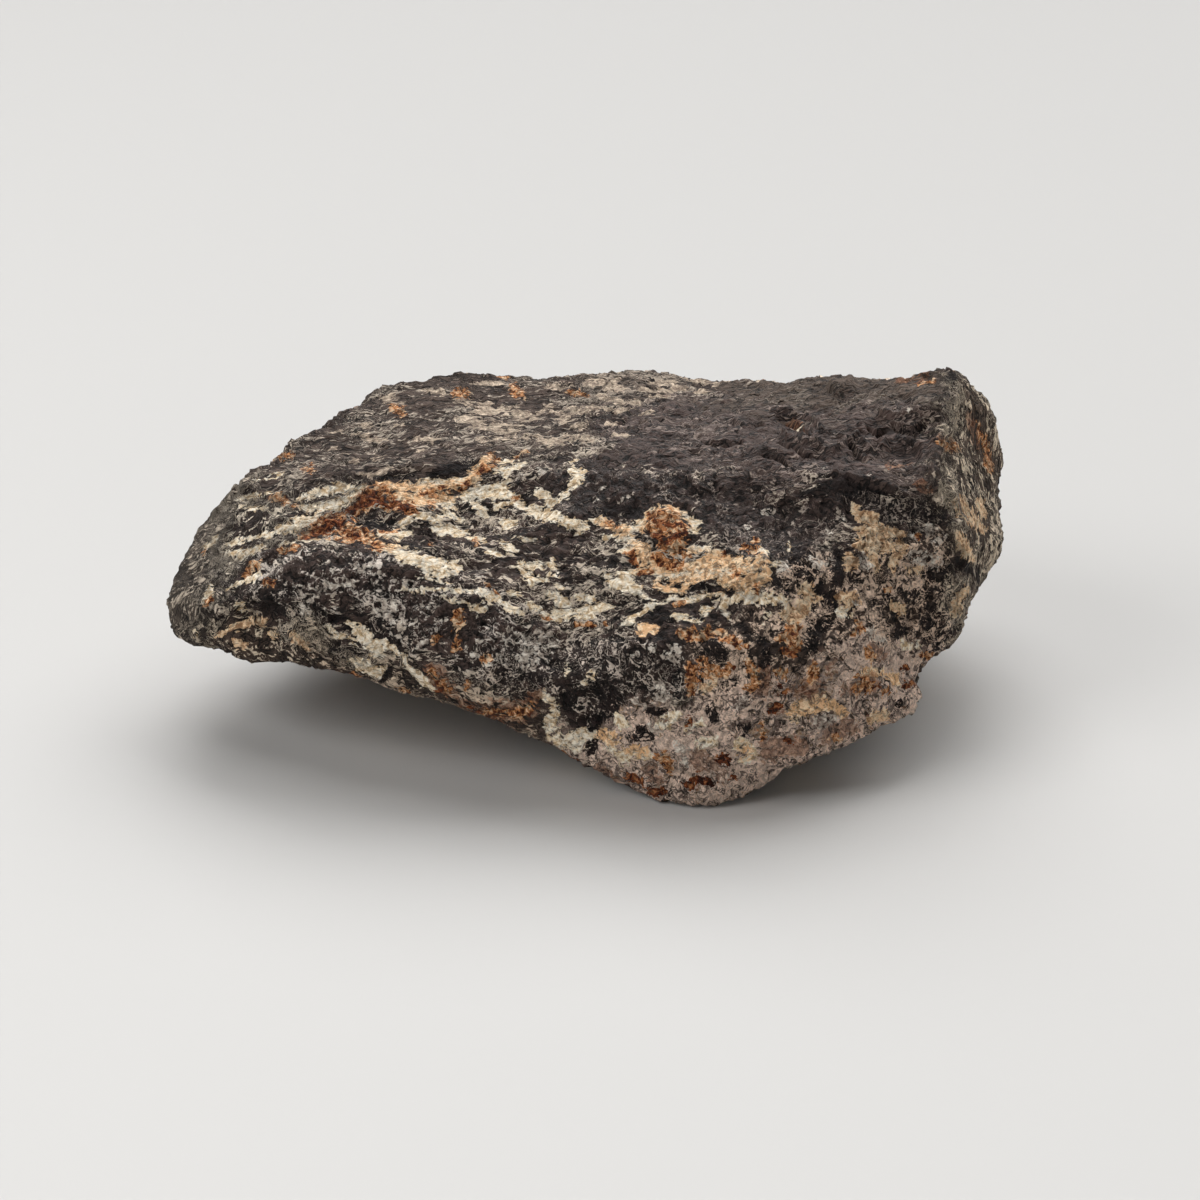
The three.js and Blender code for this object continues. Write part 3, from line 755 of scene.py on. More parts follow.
# Black marks: partly bare black crust, partly painted shade under ledges and ridges and in creases.
BLACK_CRUST_AND_SHADE = {
    "left_lens": [[(353, 517, 1.5), (364, 520, 3.5), (380, 520, 4), (394, 521, 4), (400, 523, 2)]],
    "left_blob": [[(340, 524, 4), (344, 531, 5)]],
    "crust_left_showing_in_the_trough": [
        [(460, 512, 3), (472, 510, 4), (476, 514, 2)],
        [(459, 523, 2), (468, 523, 3), (476, 520, 2)],
        [(488, 512, 2), (500, 508, 3), (514, 510, 3), (524, 514, 2)],
        [(482, 480, 2), (492, 477, 3), (500, 480, 2)],
        [(470, 498, 2), (478, 497, 2), (484, 500, 1.5)],
        [(526, 500, 5), (532, 494, 5)],
        [(400, 545, 4), (412, 547, 4), (430, 552, 4), (447, 556, 4)],
        [(406, 524, 2), (420, 522, 2.5), (432, 525, 1.5)],
        [(445, 508, 2)],
        [(404, 528, 1.5), (412, 528, 1.5)],
        [(418, 531, 2), (430, 533, 3)],
    ],
    # painted shade under the ledge of the plateau
    "shade_under_the_plateau_ledge": [
        [(383, 478, 4), (396, 475, 4), (410, 473, 4)],
        [(428, 472, 3), (440, 470, 5), (454, 466, 6), (466, 462, 5), (474, 459, 3)],
        [(446, 478, 3), (456, 476, 3)],
    ],
    "beside_the_trough": [
        [(596, 513, 5), (612, 510, 5), (626, 511, 5), (640, 514, 3)],
        [(570, 508, 3), (585, 502, 4)],
    ],
    "trough_islands": [
        [(665, 582, 4), (675, 584, 4)],
        [(684, 590, 3), (694, 584, 6), (704, 580, 5), (706, 590, 5)],
        [(652, 615, 5), (662, 612, 6), (668, 618, 5), (656, 622, 4)],
        [(712, 592, 2), (735, 592, 2)],
        [(768, 610, 3), (776, 604, 3), (786, 606, 3)],
        [(614, 560, 4), (610, 568, 4)],
        [(634, 556, 3)],
    ],
    # painted shade in the creases
    "creases_of_the_dark_mass": [
        [(784, 421, 1.5), (793, 423, 2.5), (800, 428, 1.5)],
        [(802, 453, 1.5), (812, 455, 2), (824, 458, 1.5)],
        [(853, 446, 1.5), (858, 455, 2)],
        [(900, 427, 2), (912, 429, 2.5), (924, 423, 2)],
        [(948, 380, 4), (955, 385, 5), (952, 374, 3)],
    ],
    # painted shade under the ridge
    "shade_under_the_ridge": [
        [(800, 496, 4), (820, 488, 6), (840, 484, 6), (862, 492, 7), (890, 502, 8), (920, 508, 9),
         (940, 516, 7)],
        [(880, 516, 6), (900, 520, 5)],
        [(846, 490, 6), (850, 500, 5)],
    ],
    "ring_nodule": [[(712, 648, 9), (720, 656, 11)]],
    # painted shade in the groove under the mound's brow
    "black_groove": [
        [(244, 606, 4), (262, 608, 5), (285, 614, 6), (305, 620, 5), (322, 616, 6), (345, 618, 5)],
        [(270, 596, 6), (290, 592, 5)],
        [(372, 618, 4), (384, 628, 5), (396, 640, 4)],
        [(330, 650, 5), (345, 654, 5), (362, 650, 3)],
        [(390, 670, 2.5), (382, 682, 2)],
        [(376, 592, 4), (390, 596, 4), (400, 598, 4)],
    ],
    "black_face": [
        [(600, 690, 10), (615, 700, 10), (605, 715, 8), (590, 728, 8), (590, 750, 6)],
        [(650, 712, 6), (666, 716, 4)],
        [(640, 730, 4), (650, 738, 4), (628, 738, 4)],
        [(676, 680, 6), (678, 695, 6)],
        [(500, 676, 5), (520, 674, 5), (545, 682, 5)],
        [(560, 690, 6), (570, 705, 7)],
        [(700, 655, 4), (706, 670, 5), (702, 680, 4)],
        [(725, 686, 7), (735, 680, 5)],
        [(712, 708, 5), (714, 720, 4)],
        [(498, 652, 3), (496, 660, 3)],
    ],
    "broken_face": [
        [(738, 728, 6), (748, 728, 6), (742, 734, 4)],
        [(762, 640, 5), (768, 655, 6), (764, 664, 4)],
        [(745, 628, 6), (752, 635, 5)],
        [(832, 596, 5), (834, 612, 5), (826, 622, 6), (815, 630, 7), (818, 645, 6), (806, 650, 5)],
        [(895, 634, 5), (906, 630, 4)],
        [(925, 622, 5), (938, 634, 9), (942, 645, 8), (930, 652, 5)],
        [(872, 604, 5), (880, 606, 4)],
        [(898, 588, 4), (905, 594, 4)],
        [(800, 690, 4), (804, 684, 3)],
        [(900, 704, 3)],
        [(912, 600, 6), (926, 592, 6)],
        [(930, 574, 6), (945, 568, 7), (950, 584, 7), (952, 606, 8), (950, 626, 8)],
        [(780, 548, 6), (798, 558, 9), (812, 576, 9), (822, 598, 7)],
        [(838, 556, 5), (838, 580, 6)],
        [(776, 580, 6), (788, 592, 6)],
        [(898, 626, 3), (884, 580, 4)],
        [(930, 606, 4), (942, 612, 5), (944, 590, 5)],
    ],
    "right_side": [
        [(960, 560, 4), (972, 568, 5), (980, 578, 4)],
        [(972, 480, 4), (970, 490, 4)],
        [(978, 500, 2), (980, 510, 2)],
    ],
}

STAIN = {
    "round_the_left_rust": [
        [(380, 480, 12), (400, 488, 14), (425, 494, 14), (450, 490, 12)],
        [(470, 480, 8), (485, 462, 10)],
        [(330, 535, 10), (390, 545, 8)],
    ],
    "round_the_rust_ball": [
        [(640, 545, 12), (668, 525, 24)],
        [(640, 560, 12), (680, 562, 14), (720, 560, 14), (760, 562, 10)],
        [(600, 524, 6), (625, 530, 8)],
        [(650, 585, 8), (690, 582, 10), (730, 582, 10), (762, 580, 10)],
        [(644, 627, 10), (656, 628, 8)],
    ],
    "broken_face": [
        [(600, 735, 8), (640, 750, 8)],
        [(745, 752, 8)],
        [(792, 712, 10), (828, 704, 10), (846, 712, 8)],
        [(866, 674, 8), (896, 681, 8)],
    ],
    "rear": [[(470, 390, 5), (500, 376, 4), (580, 385, 4)]],
}
BLUSH = {
    "lower_left_edge": [
        [(427, 669, 4), (434, 674, 6), (442, 683, 8), (449, 690, 8), (456, 695, 4)],
        [(458, 702, 4), (468, 706, 6), (486, 711, 8), (505, 713, 10), (520, 714, 12), (532, 706, 9),
         (534, 697, 7)],
    ],
    "dark_mass": [
        [(900, 378, 5), (912, 374, 7), (924, 372, 5)],
        [(940, 440, 5), (952, 445, 6)],
        [(890, 462, 4), (900, 463, 5), (908, 461, 3)],
        [(918, 484, 4), (926, 490, 6)],
        [(790, 421, 4), (800, 426, 3)],
    ],
    "broken_face": [
        [(800, 690, 8), (815, 686, 8)],
        [(850, 690, 7), (870, 684, 9)],
        [(760, 690, 8), (768, 676, 6)],
        [(880, 655, 7), (872, 648, 5)],
        [(700, 760, 9), (720, 770, 10)],
        [(770, 750, 10), (800, 745, 9)],
        [(830, 735, 8), (850, 728, 8)],
        [(650, 770, 8), (660, 785, 7)],
        [(600, 770, 7), (612, 780, 6)],
    ],
    "right_side": [[(970, 415, 4), (976, 430, 6), (980, 445, 5)]],
}

# %% [markdown]
# A mark counts as 0 along its edge, more towards its middle and less outside. A fine noise is
# added to that later, in the material, so that the edge comes out ragged and crumbly.

# %% Reading outlines and marks
FAR = -4.0  # what a place counts that is far outside all marks
REACH = 30  # pixels round a mark beyond which a place is far from it
WIDE_SLOPE = 0.35  # how much more gently a wide mark grows deeper than a thin one
FADE, FINER = 0.8, 2.1  # how fast the octaves of a cloud fade, and how much finer each one is


def inside_mark(seen, groups):
    """How deep each seen place lies in the nearest of the marks."""
    depth = np.full(len(seen), FAR)
    for line in [line for lines in groups.values() for line in lines]:
        spots = np.array(line if len(line) > 1 else line * 2, float)
        low, high = spots[:, :2].min(0) - REACH, spots[:, :2].max(0) + REACH
        near = np.flatnonzero(((seen > low) & (seen < high)).all(1))
        for (ax, ay, a_wide), (bx, by, b_wide) in zip(spots, spots[1:]):
            along = np.array([bx - ax, by - ay])
            from_a = seen[near] - (ax, ay)
            share = np.clip(from_a @ along / max(along @ along, 1e-9), 0, 1)
            gap = np.linalg.norm(from_a - share[:, None] * along, axis=1)
            wide = a_wide + share * (b_wide - a_wide)
            depth[near] = np.maximum(depth[near], (wide - gap) / (1 + WIDE_SLOPE * wide))
    return depth


def inside_outline(seen, outline):
    """How many pixels each seen place lies inside an outline, or minus how many it lies outside."""
    gap = np.full(len(seen), np.inf)
    inside = np.zeros(len(seen), bool)
    for (ax, ay), (bx, by) in zip(outline, outline[1:] + outline[:1]):
        along = np.array([bx - ax, by - ay])
        from_a = seen - (ax, ay)
        share = np.clip(from_a @ along / (along @ along), 0, 1)
        gap = np.minimum(gap, np.linalg.norm(from_a - share[:, None] * along, axis=1))
        crosses = (seen[:, 1] < ay) != (seen[:, 1] < by)
        with np.errstate(divide="ignore", invalid="ignore"):
            inside ^= crosses & (seen[:, 0] < ax + (seen[:, 1] - ay) * (bx - ax) / (by - ay))
    return np.where(inside, gap, -gap)


def smooth(values, low, high):
    """0 up to low, 1 from high on, and a smooth step between them."""
    share = np.clip((values - low) / (high - low), 0, 1)
    return share * share * (3 - 2 * share)


def cloud(spacing, seed, octaves=3):
    """A soft noise of about -1 to 1 at each place of the skin, with lumps that far apart."""
    shifted = places / spacing + (seed, 0.37 * seed, -seed)
    return np.array([noise.fractal(Vector(p), FADE, FINER, octaves) for p in shifted])


# %% [markdown]
# The far side of the stone is not in the camera's view, so no mark is drawn there. Patches of the
# same crusts and coatings are scattered over it by noise instead, and the two kinds fade into each
# other where the skin turns away.

# %% Maps of the areas
EDGE_WANDER = 30  # pixels that the edge of an area strays
EDGE_SOFT = 12  # pixels over which one area passes into the next
TURN_AWAY = 0.12  # the drawn marks fade into the scattered ones over this much facing on either side
SAME_WAY = (0.8, 0.98)  # how much the runs of mixed areas agree where streaks begin and are full

in_view = smooth(facing, -TURN_AWAY, TURN_AWAY)
wander = 0.6 * cloud(4 * MM, 5) + 0.5 * cloud(1.2 * MM, 6)
unseen_patches = {  # the higher the two limits, the rarer the patches of that area
    "broken_face": smooth(cloud(15 * MM, 11), 0.35, 0.5),
    "dark_mass": smooth(cloud(18 * MM, 23), 0.12, 0.3),
    "left_slope": smooth(cloud(12 * MM, 31), 0.25, 0.4),
}
shares = {"open_crust": np.ones(len(places))}
for area, outline in AREA_OUTLINES.items():
    drawn = smooth(inside_outline(seen, outline) + EDGE_WANDER * wander, -EDGE_SOFT, EDGE_SOFT)
    share = drawn * in_view + unseen_patches.get(area, 0) * (1 - in_view)
    for other in shares:
        shares[other] = shares[other] * (1 - share)
    shares[area] = share


def look(name):
    """The value of one look at each place, mixed from those of the areas there."""
    column = LOOKS.index(name)
    mixed = 0
    for area, share in shares.items():
        value = AREA_LOOKS[area][column]
        value = linear(value) if isinstance(value, str) else value
        mixed = mixed + np.outer(share, np.atleast_1d(value))
    return mixed


def write_map(name, kind, values):
    layer = skin_mesh.attributes.new(name, kind, "POINT")
    field = {"FLOAT": "value", "FLOAT_VECTOR": "vector", "FLOAT_COLOR": "color"}[kind]
    layer.data.foreach_set(field, np.asarray(values, np.float32).ravel())


# Streaks fade out where two areas meet whose streaks run different ways.
run = look("run")
strength = np.linalg.norm(run, axis=1)
write_map("run", "FLOAT_VECTOR", run / strength[:, None])
for name in LOOKS[:-1]:
    values = look(name) * smooth(strength, *SAME_WAY)[:, None] if name == "streaks" else look(name)
    write_map(name, "FLOAT_COLOR" if name in ("crust", "fleck") else "FLOAT", values)

KINDS = {
    # name: (marks, how deep they count at most, spacing in mm of the patches out of view, their seed,
    # how rare they are)
    "black": (BLACK_CRUST_AND_SHADE, 1.5, 7, 97, 0.25),
    "tan": (TAN, 1.2, 9, 61, 0.50),
    "dust": (DUST, 0.8, 9, 43, 0.50),
    "lime": (LIME, 1.2, 8, 41, 0.48),
    "stain": (STAIN, 1.5, 10, 47, 0.30),
    "pale": (PALE, 0.1, 5, 53, 0.45),
    "blush": (BLUSH, 0.5, 9, 67, 0.50),
    "rust": (RUST, 1.2, 7, 71, 0.60),
    "deep_rust": (DEEP_RUST, 1.2, 6, 83, 0.65),
}
PATCH_SLOPE = 7  # how fast a patch that is out of view grows deeper from its edge
for name, (groups, deepest, spacing, seed, bare) in KINDS.items():
    scattered = (cloud(spacing * MM, seed) - bare) * PATCH_SLOPE
    drawn = inside_mark(seen, groups)
    write_map(name, "FLOAT", np.clip(drawn * in_view + scattered * (1 - in_view), FAR, deepest))
marks = sum(len(lines) for groups, *_ in KINDS.values() for lines in groups.values())
print("areas:", len(shares), "marks:", marks)

# %% [markdown]
# Folds and pits too deep for the noise are drawn as well, as marks with a height.

# %% Folds and pits
FOLDS = {  # name: (height in mm, lines of places and half-widths)
    "creases_of_the_dark_mass": (-0.9, [
        [(780, 420, 2.5), (790, 423, 3.5), (799, 428, 3), (808, 433, 2)],
        [(778, 440, 1.5), (795, 446, 2.5), (805, 454, 3), (818, 455, 2.5), (828, 460, 2)],
        [(848, 440, 2), (854, 448, 3), (859, 456, 3), (868, 460, 1.5)],
        [(868, 426, 1.5), (878, 434, 2.5), (884, 428, 2)],
        [(892, 424, 2), (904, 429, 4), (914, 430, 4), (928, 421, 3), (938, 422, 2)],
        [(760, 452, 1.5), (776, 456, 2), (790, 464, 2)],
        [(730, 420, 1.5), (745, 424, 2), (762, 423, 1.5)],
        [(700, 440, 1.5), (722, 444, 2), (740, 442, 1.5)],
    ]),
    "folds_of_the_dark_mass": (0.65, [
        [(772, 412, 2), (790, 413, 3), (812, 420, 2.5), (822, 426, 2)],
        [(784, 434, 2), (800, 438, 3), (818, 443, 3), (830, 452, 2.5), (842, 446, 3), (856, 434, 2.5)],
        [(862, 440, 2), (872, 448, 3), (886, 440, 2)],
        [(834, 473, 2), (860, 478, 3), (886, 487, 3.5), (908, 494, 3)],
        [(880, 414, 2), (900, 414, 3), (920, 412, 2.5), (938, 412, 2)],
        [(836, 388, 6), (850, 386, 6)],
    ]),
    "bowl_of_the_dark_mass": (-0.7, [[(880, 448, 8), (896, 450, 10), (912, 450, 8)]]),
    "corner_edge": (0.3, [[(946, 384, 6), (940, 420, 6), (934, 470, 6), (938, 496, 6)]]),
    "furrow_beside_the_corner": (-0.5, [[(950, 440, 5), (946, 470, 5), (948, 494, 5), (958, 515, 5)]]),
    "rust_ball": (0.5, [[(664, 528, 16), (672, 534, 14)]]),
    "hollow_under_the_plateau": (-0.5, [[(400, 476, 8), (440, 474, 9), (470, 464, 8)]]),
    "lens_hollow": (-0.5, [[(358, 518, 5), (380, 521, 7), (398, 523, 4)]]),
    "black_groove": (-0.5, [[(244, 610, 8), (285, 615, 9), (330, 622, 9), (372, 634, 9), (398, 655, 9)]]),
    "black_face_hollow": (-0.5, [[(600, 700, 16), (592, 740, 12)], [(645, 712, 8), (668, 716, 6)]]),
    "ring_nodule": (0.3, [[(718, 650, 12)]]),
}
SLOPE_WIDTH = 1.5  # how many times its half-width a fold or pit reaches, with its slopes
height = np.zeros(len(places))
for rise, lines in FOLDS.values():
    depth = np.zeros(len(places))
    for line in lines:
        widened = {"": [[(x, y, wide * SLOPE_WIDTH) for x, y, wide in line]]}
        depth = np.maximum(depth, smooth(inside_mark(seen, widened), 0, 1.2))
    height += rise * depth * in_view
write_map("folds", "FLOAT", height)

# %% [markdown]
# One function adds a node, with its settings and with values or other nodes' outputs for its
# inputs. It is used for the relief and for the material alike.

# %% Adding nodes
MATH, VECTOR, MIX = "ShaderNodeMath", "ShaderNodeVectorMath", "ShaderNodeMix"
NOISE, STEP = "ShaderNodeTexNoise", "ShaderNodeMapRange"
NAMED_MAP = "GeometryNodeInputNamedAttribute"
SMOOTH = {"interpolation_type": "SMOOTHSTEP"}  # for a step that starts and ends softly


def add(tree, kind, inputs=(), output=0, **settings):
    """Adds a node with inputs, in order or by name, and returns one of its outputs."""
    node = tree.nodes.new(kind)
    for name, value in settings.items():
        setattr(node, name, value)
    for key, value in inputs.items() if isinstance(inputs, dict) else enumerate(inputs):
        if isinstance(value, bpy.types.NodeSocket):
            tree.links.new(value, node.inputs[key])
        else:
            node.inputs[key].default_value = value
    return node.outputs[output] if len(node.outputs) else node


# %% [markdown]
# Relief follows rules: lumps are the rounded cells of a Voronoi pattern, ledges are a noise cut
# into steps like overlapping flakes, wrinkles are its folded ridges, grit is a fine noise, and
# streaks are a noise drawn out along the run of the crust. Geometry Nodes add them up with the
# maps as their heights and move the skin.

# %% Relief: inputs
relief = bpy.data.node_groups.new("crust_relief", "GeometryNodeTree")
relief.interface.new_socket("Geometry", in_out="INPUT", socket_type="NodeSocketGeometry")
RELIEF_SIZES = {  # mm, but for the number of ledges
    "Lump spacing": 1.3,
    "Ledge spacing": 4.5,
    "Ledges": 9.0,
    "Wrinkle spacing": 3.4,
    "Grit spacing": 0.7,
    "Streak width": 0.9,
}
sockets = {}
for name, size in RELIEF_SIZES.items():
    sockets[name] = relief.interface.new_socket(name, in_out="INPUT", socket_type="NodeSocketFloat")
    sockets[name].default_value = size
sockets["Seed"] = relief.interface.new_socket("Seed", in_out="INPUT", socket_type="NodeSocketFloat")
sockets["Material"] = relief.interface.new_socket(
    "Material", in_out="INPUT", socket_type="NodeSocketMaterial"
)
relief.interface.new_socket("Geometry", in_out="OUTPUT", socket_type="NodeSocketGeometry")
given = relief.nodes.new("NodeGroupInput").outputs
fineness = {name: add(relief, MATH, [1.0, given[name]], operation="DIVIDE") for name in RELIEF_SIZES}
HEIGHT_MAPS = ("lumps", "ledges", "wrinkles", "grit", "streaks", "folds", "lime")
maps = {
    name: add(relief, NAMED_MAP, {"Name": name}, "Attribute", data_type="FLOAT")
    for name in HEIGHT_MAPS
}

# %% Relief: places
# A wide noise bends the places a little, so that no pattern but the grit looks regular.
DRAWN_OUT = -0.68  # places shrink by this share along the run, which draws a noise out threefold
position = add(relief, "GeometryNodeInputPosition")
place = add(relief, VECTOR, {0: position, "Scale": 1 / MM}, operation="SCALE")
shift = add(relief, "ShaderNodeCombineXYZ", [given["Seed"], given["Seed"]])
place = add(relief, VECTOR, [place, shift], operation="ADD")
bend = add(relief, NOISE, {"Vector": place, "Scale": 0.45, "Detail": 2.0}, "Color")
bent = add(relief, VECTOR, [bend, (1.6, 1.6, 1.6), place], operation="MULTIPLY_ADD")
run_way = add(relief, NAMED_MAP, {"Name": "run"}, "Attribute", data_type="FLOAT_VECTOR")
along = add(relief, VECTOR, [bent, run_way], "Value", operation="DOT_PRODUCT")
shrunk = add(relief, MATH, [along, DRAWN_OUT], operation="MULTIPLY")
shrunk = add(relief, VECTOR, {0: run_way, "Scale": shrunk}, operation="SCALE")
streak_place = add(relief, VECTOR, [bent, shrunk], operation="ADD")

# %% Relief: patterns, each about 0 on average and about 1 from top to bottom
cells = {"Vector": bent, "Scale": fineness["Lump spacing"], "Smoothness": 0.35}
gap = add(relief, "ShaderNodeTexVoronoi", cells, "Distance", feature="SMOOTH_F1")
lumps = add(relief, MATH, [gap, -2.2, 1.0], operation="MULTIPLY_ADD")

broad = {"Vector": bent, "Scale": fineness["Ledge spacing"], "Detail": 3.0, "Roughness": 0.55}
ledge_noise = add(relief, NOISE, broad)
ledge_count = add(relief, MATH, [ledge_noise, given["Ledges"]], operation="MULTIPLY")
ledge_share = add(relief, MATH, [ledge_count], operation="FRACT")
tread = add(relief, STEP, {"Value": ledge_share, "From Max": 0.75}, **SMOOTH)
riser = add(relief, STEP, {"Value": ledge_share, "From Min": 1.0, "From Max": 0.78}, **SMOOTH)
ledges = add(relief, MATH, [tread, riser, -0.5], operation="MULTIPLY_ADD")

ridged = {"Vector": bent, "Scale": fineness["Wrinkle spacing"], "Detail": 2.0, "Roughness": 0.5}
ridged |= {"Offset": 0.9, "Gain": 1.4}
ridges = add(relief, NOISE, ridged, noise_type="RIDGED_MULTIFRACTAL", normalize=False)
wrinkles = add(relief, MATH, [ridges, 0.5, -0.5], operation="MULTIPLY_ADD")

grit = add(relief, NOISE, {"Vector": place, "Scale": fineness["Grit spacing"], "Detail": 2.0})
grit = add(relief, MATH, [grit, 3.0, -1.5], operation="MULTIPLY_ADD")
streaks = add(relief, NOISE, {"Vector": streak_place, "Scale": fineness["Streak width"], "Detail": 2.0})
streaks = add(relief, MATH, [streaks, 0.40, -0.20], operation="MULTIPLY_ADD")

# %% Relief: sum
fine_rise = 0.0
for pattern, height_map in ((lumps, "lumps"), (ledges, "ledges"), (grit, "grit"), (streaks, "streaks")):
    fine_rise = add(relief, MATH, [pattern, maps[height_map], fine_rise], operation="MULTIPLY_ADD")
filling = {"Value": maps["lime"], "From Min": -0.4, "From Max": 0.6, "To Min": 1.0, "To Max": 0.4}
under_lime = add(relief, STEP, filling)  # lime evens out what it covers
fine_rise = add(relief, MATH, [fine_rise, under_lime], operation="MULTIPLY")
rise = add(relief, MATH, [wrinkles, maps["wrinkles"], maps["folds"]], operation="MULTIPLY_ADD")
rise = add(relief, MATH, [rise, fine_rise], operation="ADD")
rise = add(relief, MATH, [rise, MM], operation="MULTIPLY")
moved = add(relief, VECTOR, {0: add(relief, "GeometryNodeInputNormal"), "Scale": rise}, operation="SCALE")
moved = add(relief, VECTOR, [position, moved], operation="ADD")
LOWEST = (-1.0, -1.0, 0.0)  # metres: nothing sinks below the floor, and x and y stay as they are
landed = add(relief, VECTOR, [moved, LOWEST], operation="MAXIMUM")

shape = given["Geometry"]
KEPT = {  # maps that the material reads too
    "place": ("FLOAT_VECTOR", place),
    "streak_place": ("FLOAT_VECTOR", streak_place),
    "bulge": ("FLOAT", fine_rise),
}
for name, (kind, value) in KEPT.items():
    stored = {"Geometry": shape, "Name": name, "Value": value}
    shape = add(relief, "GeometryNodeStoreNamedAttribute", stored, data_type=kind, domain="POINT")
shape = add(relief, "GeometryNodeSetPosition", {"Geometry": shape, "Position": landed})
shape = add(relief, "GeometryNodeRealizeInstances", [shape])
shape = add(relief, "GeometryNodeSetMaterial", {"Geometry": shape, "Material": given["Material"]})
add(relief, "NodeGroupOutput", [shape])

# %% [markdown]
# One material covers the stone, a weathered ordinary chondrite. Its crust is melted and cooled
# rock, dark with a faint sheen and full of small pits between rims of flakes. Painted shade darkens
# its pits, crevices and low relief, and painted highlight lightens its rims, raised flakes and high
# relief. Lime is chalky and dull. Rust is crumbly and dull. Where the crust has broken off,
# millimetre grains of many colours show. All of them are worked out from three noises, whose lumps
# have the size in millimetres of the real thing: a wide drift, a lace of flakes and a crumb. The last
# two are also made drawn out along the run of the crust and mixed in where it is streaky.

# %% Stone material: maps and noises
chondrite = bpy.data.materials.new("weathered_chondrite")
chondrite.use_nodes = True
tree = chondrite.node_tree
shader = tree.nodes["Principled BSDF"]
shader.inputs["IOR"].default_value = 1.55
shader.inputs["Specular IOR Level"].default_value = 0.22  # pits swallow most of the gloss

painted = {}
for name in LOOKS[:-1] + tuple(KINDS) + ("bulge",):
    painted[name] = add(tree, "ShaderNodeAttribute", output="Fac", attribute_name=name)
for name in ("crust", "fleck"):
    painted[name] = add(tree, "ShaderNodeAttribute", output="Color", attribute_name=name)
for name in ("place", "streak_place"):
    painted[name] = add(tree, "ShaderNodeAttribute", output="Vector", attribute_name=name)

NOISES = {  # name: (places, spacing of its lumps in mm, octaves, roughness, distortion)
    "drift": ("place", 6.0, 2.0, 0.50, 0.0),
    "lace": ("place", 1.6, 3.0, 0.60, 0.6),
    "crumb": ("place", 0.48, 3.0, 0.65, 0.5),
    "lace_drawn_out": ("streak_place", 1.2, 3.0, 0.60, 0.6),
    "crumb_drawn_out": ("streak_place", 0.40, 3.0, 0.65, 0.5),
}
noises = {}
for name, (places_map, spacing, octaves, roughness, distortion) in NOISES.items():
    texture = {"Vector": painted[places_map], "Scale": 1 / spacing, "Detail": octaves}
    texture |= {"Roughness": roughness, "Distortion": distortion}
    noises[name] = add(tree, NOISE, texture, "Color")
noises["even_crumb"] = noises["crumb"]
for name in ("lace", "crumb"):
    mixed = {0: painted["streaks"], 6: noises[name], 7: noises[name + "_drawn_out"]}
    noises[name] = add(tree, MIX, mixed, 2, data_type="RGBA")
# Each noise has a colour, whose three channels serve as three separate patterns.
even_crumb, drift, lace, crumb = (
    add(tree, "ShaderNodeSeparateColor", [noises[name]]).node.outputs
    for name in ("even_crumb", "drift", "lace", "crumb")
)

# %% Stone material: crust and broken grains
# Flakes of the crust are raised on one side of a thin crevice, darkened as painted shade, and have
# a rim beside it, lightened as a painted highlight in the pale colour of the veins.
# Every noise lies round 0.5 and mostly between 0.3 and 0.7, and the limits below are such values.
by_line = {}  # how far each pattern is from the value that it has along a line
LINES = (("painted_crevice_shade", lace[0], 0.480), ("rim", lace[0], 0.522), ("vein", crumb[2], 0.500))
for name, pattern, value in LINES:
    off_line = add(tree, MATH, [pattern, value], operation="SUBTRACT")
    by_line[name] = add(tree, MATH, [off_line], operation="ABSOLUTE")
painted_crevice_shade = add(tree, STEP, {"Value": by_line["painted_crevice_shade"], "From Min": 0.026, "From Max": 0.010}, **SMOOTH)
cluster = 0.0
for pattern, weight in ((drift[1], 0.40), (lace[2], 0.35), (crumb[0], 0.25)):
    cluster = add(tree, MATH, [pattern, weight, cluster], operation="MULTIPLY_ADD")
clustered = {"Value": cluster, "From Min": 0.48, "From Max": 0.54, "To Max": painted["flecks"]}
patchy = add(tree, STEP, clustered, **SMOOTH)
inside = {}
# The rim is a painted highlight beside each crevice, in the pale vein colour; the veins are pale material.
for name, half_width in (("rim", 0.034), ("vein", 0.026)):
    reach = add(tree, MATH, [patchy, half_width], operation="MULTIPLY")
    inside[name] = add(tree, MATH, [reach, by_line[name]], operation="SUBTRACT")
lit_flake = add(tree, STEP, {"Value": lace[0], "From Min": 0.48, "From Max": 0.52}, **SMOOTH)
shaded_pit = add(tree, STEP, {"Value": crumb[0], "From Min": 0.43, "From Max": 0.57}, **SMOOTH)
# Painted shade and light: pits and low relief are made darker, raised flakes and high relief lighter; the
# wide drift varies the tone at random.
shade = -0.70
for pattern, weight in ((shaded_pit, 0.75), (lit_flake, 0.30), (painted["bulge"], 1.2), (drift[0], 0.50)):
    shade = add(tree, MATH, [pattern, weight, shade], operation="MULTIPLY_ADD")
painted_shade_and_tone = add(tree, MATH, [shade, painted["contrast"], 1.0], operation="MULTIPLY_ADD")
painted_shade_and_tone = add(tree, MATH, [painted_shade_and_tone, 0.25], operation="MAXIMUM")

grain_hue = add(tree, MATH, [lace[1], 0.6], operation="MULTIPLY")
grain_hue = add(tree, MATH, [crumb[1], 0.4, grain_hue], operation="MULTIPLY_ADD")
GRAINS = (  # (value where it starts, colour)
    (0.43, "#6a5a52"), (0.48, "#8f8177"), (0.52, "#a5948a"), (0.56, "#b59a7c"), (0.60, "#8c6350"),
)
grain_colour = linear(GRAINS[0][1])
for start, hex_colour in GRAINS[1:]:
    share = add(tree, STEP, {"Value": grain_hue, "From Min": start - 0.03, "From Max": start}, **SMOOTH)
    grain_colour = add(tree, MIX, {0: share, 6: grain_colour, 7: linear(hex_colour)}, 2, data_type="RGBA")
colour = add(tree, MIX, {0: painted["grains"], 6: painted["crust"], 7: grain_colour}, 2, data_type="RGBA")
colour = add(tree, VECTOR, {0: colour, "Scale": painted_shade_and_tone}, operation="SCALE")

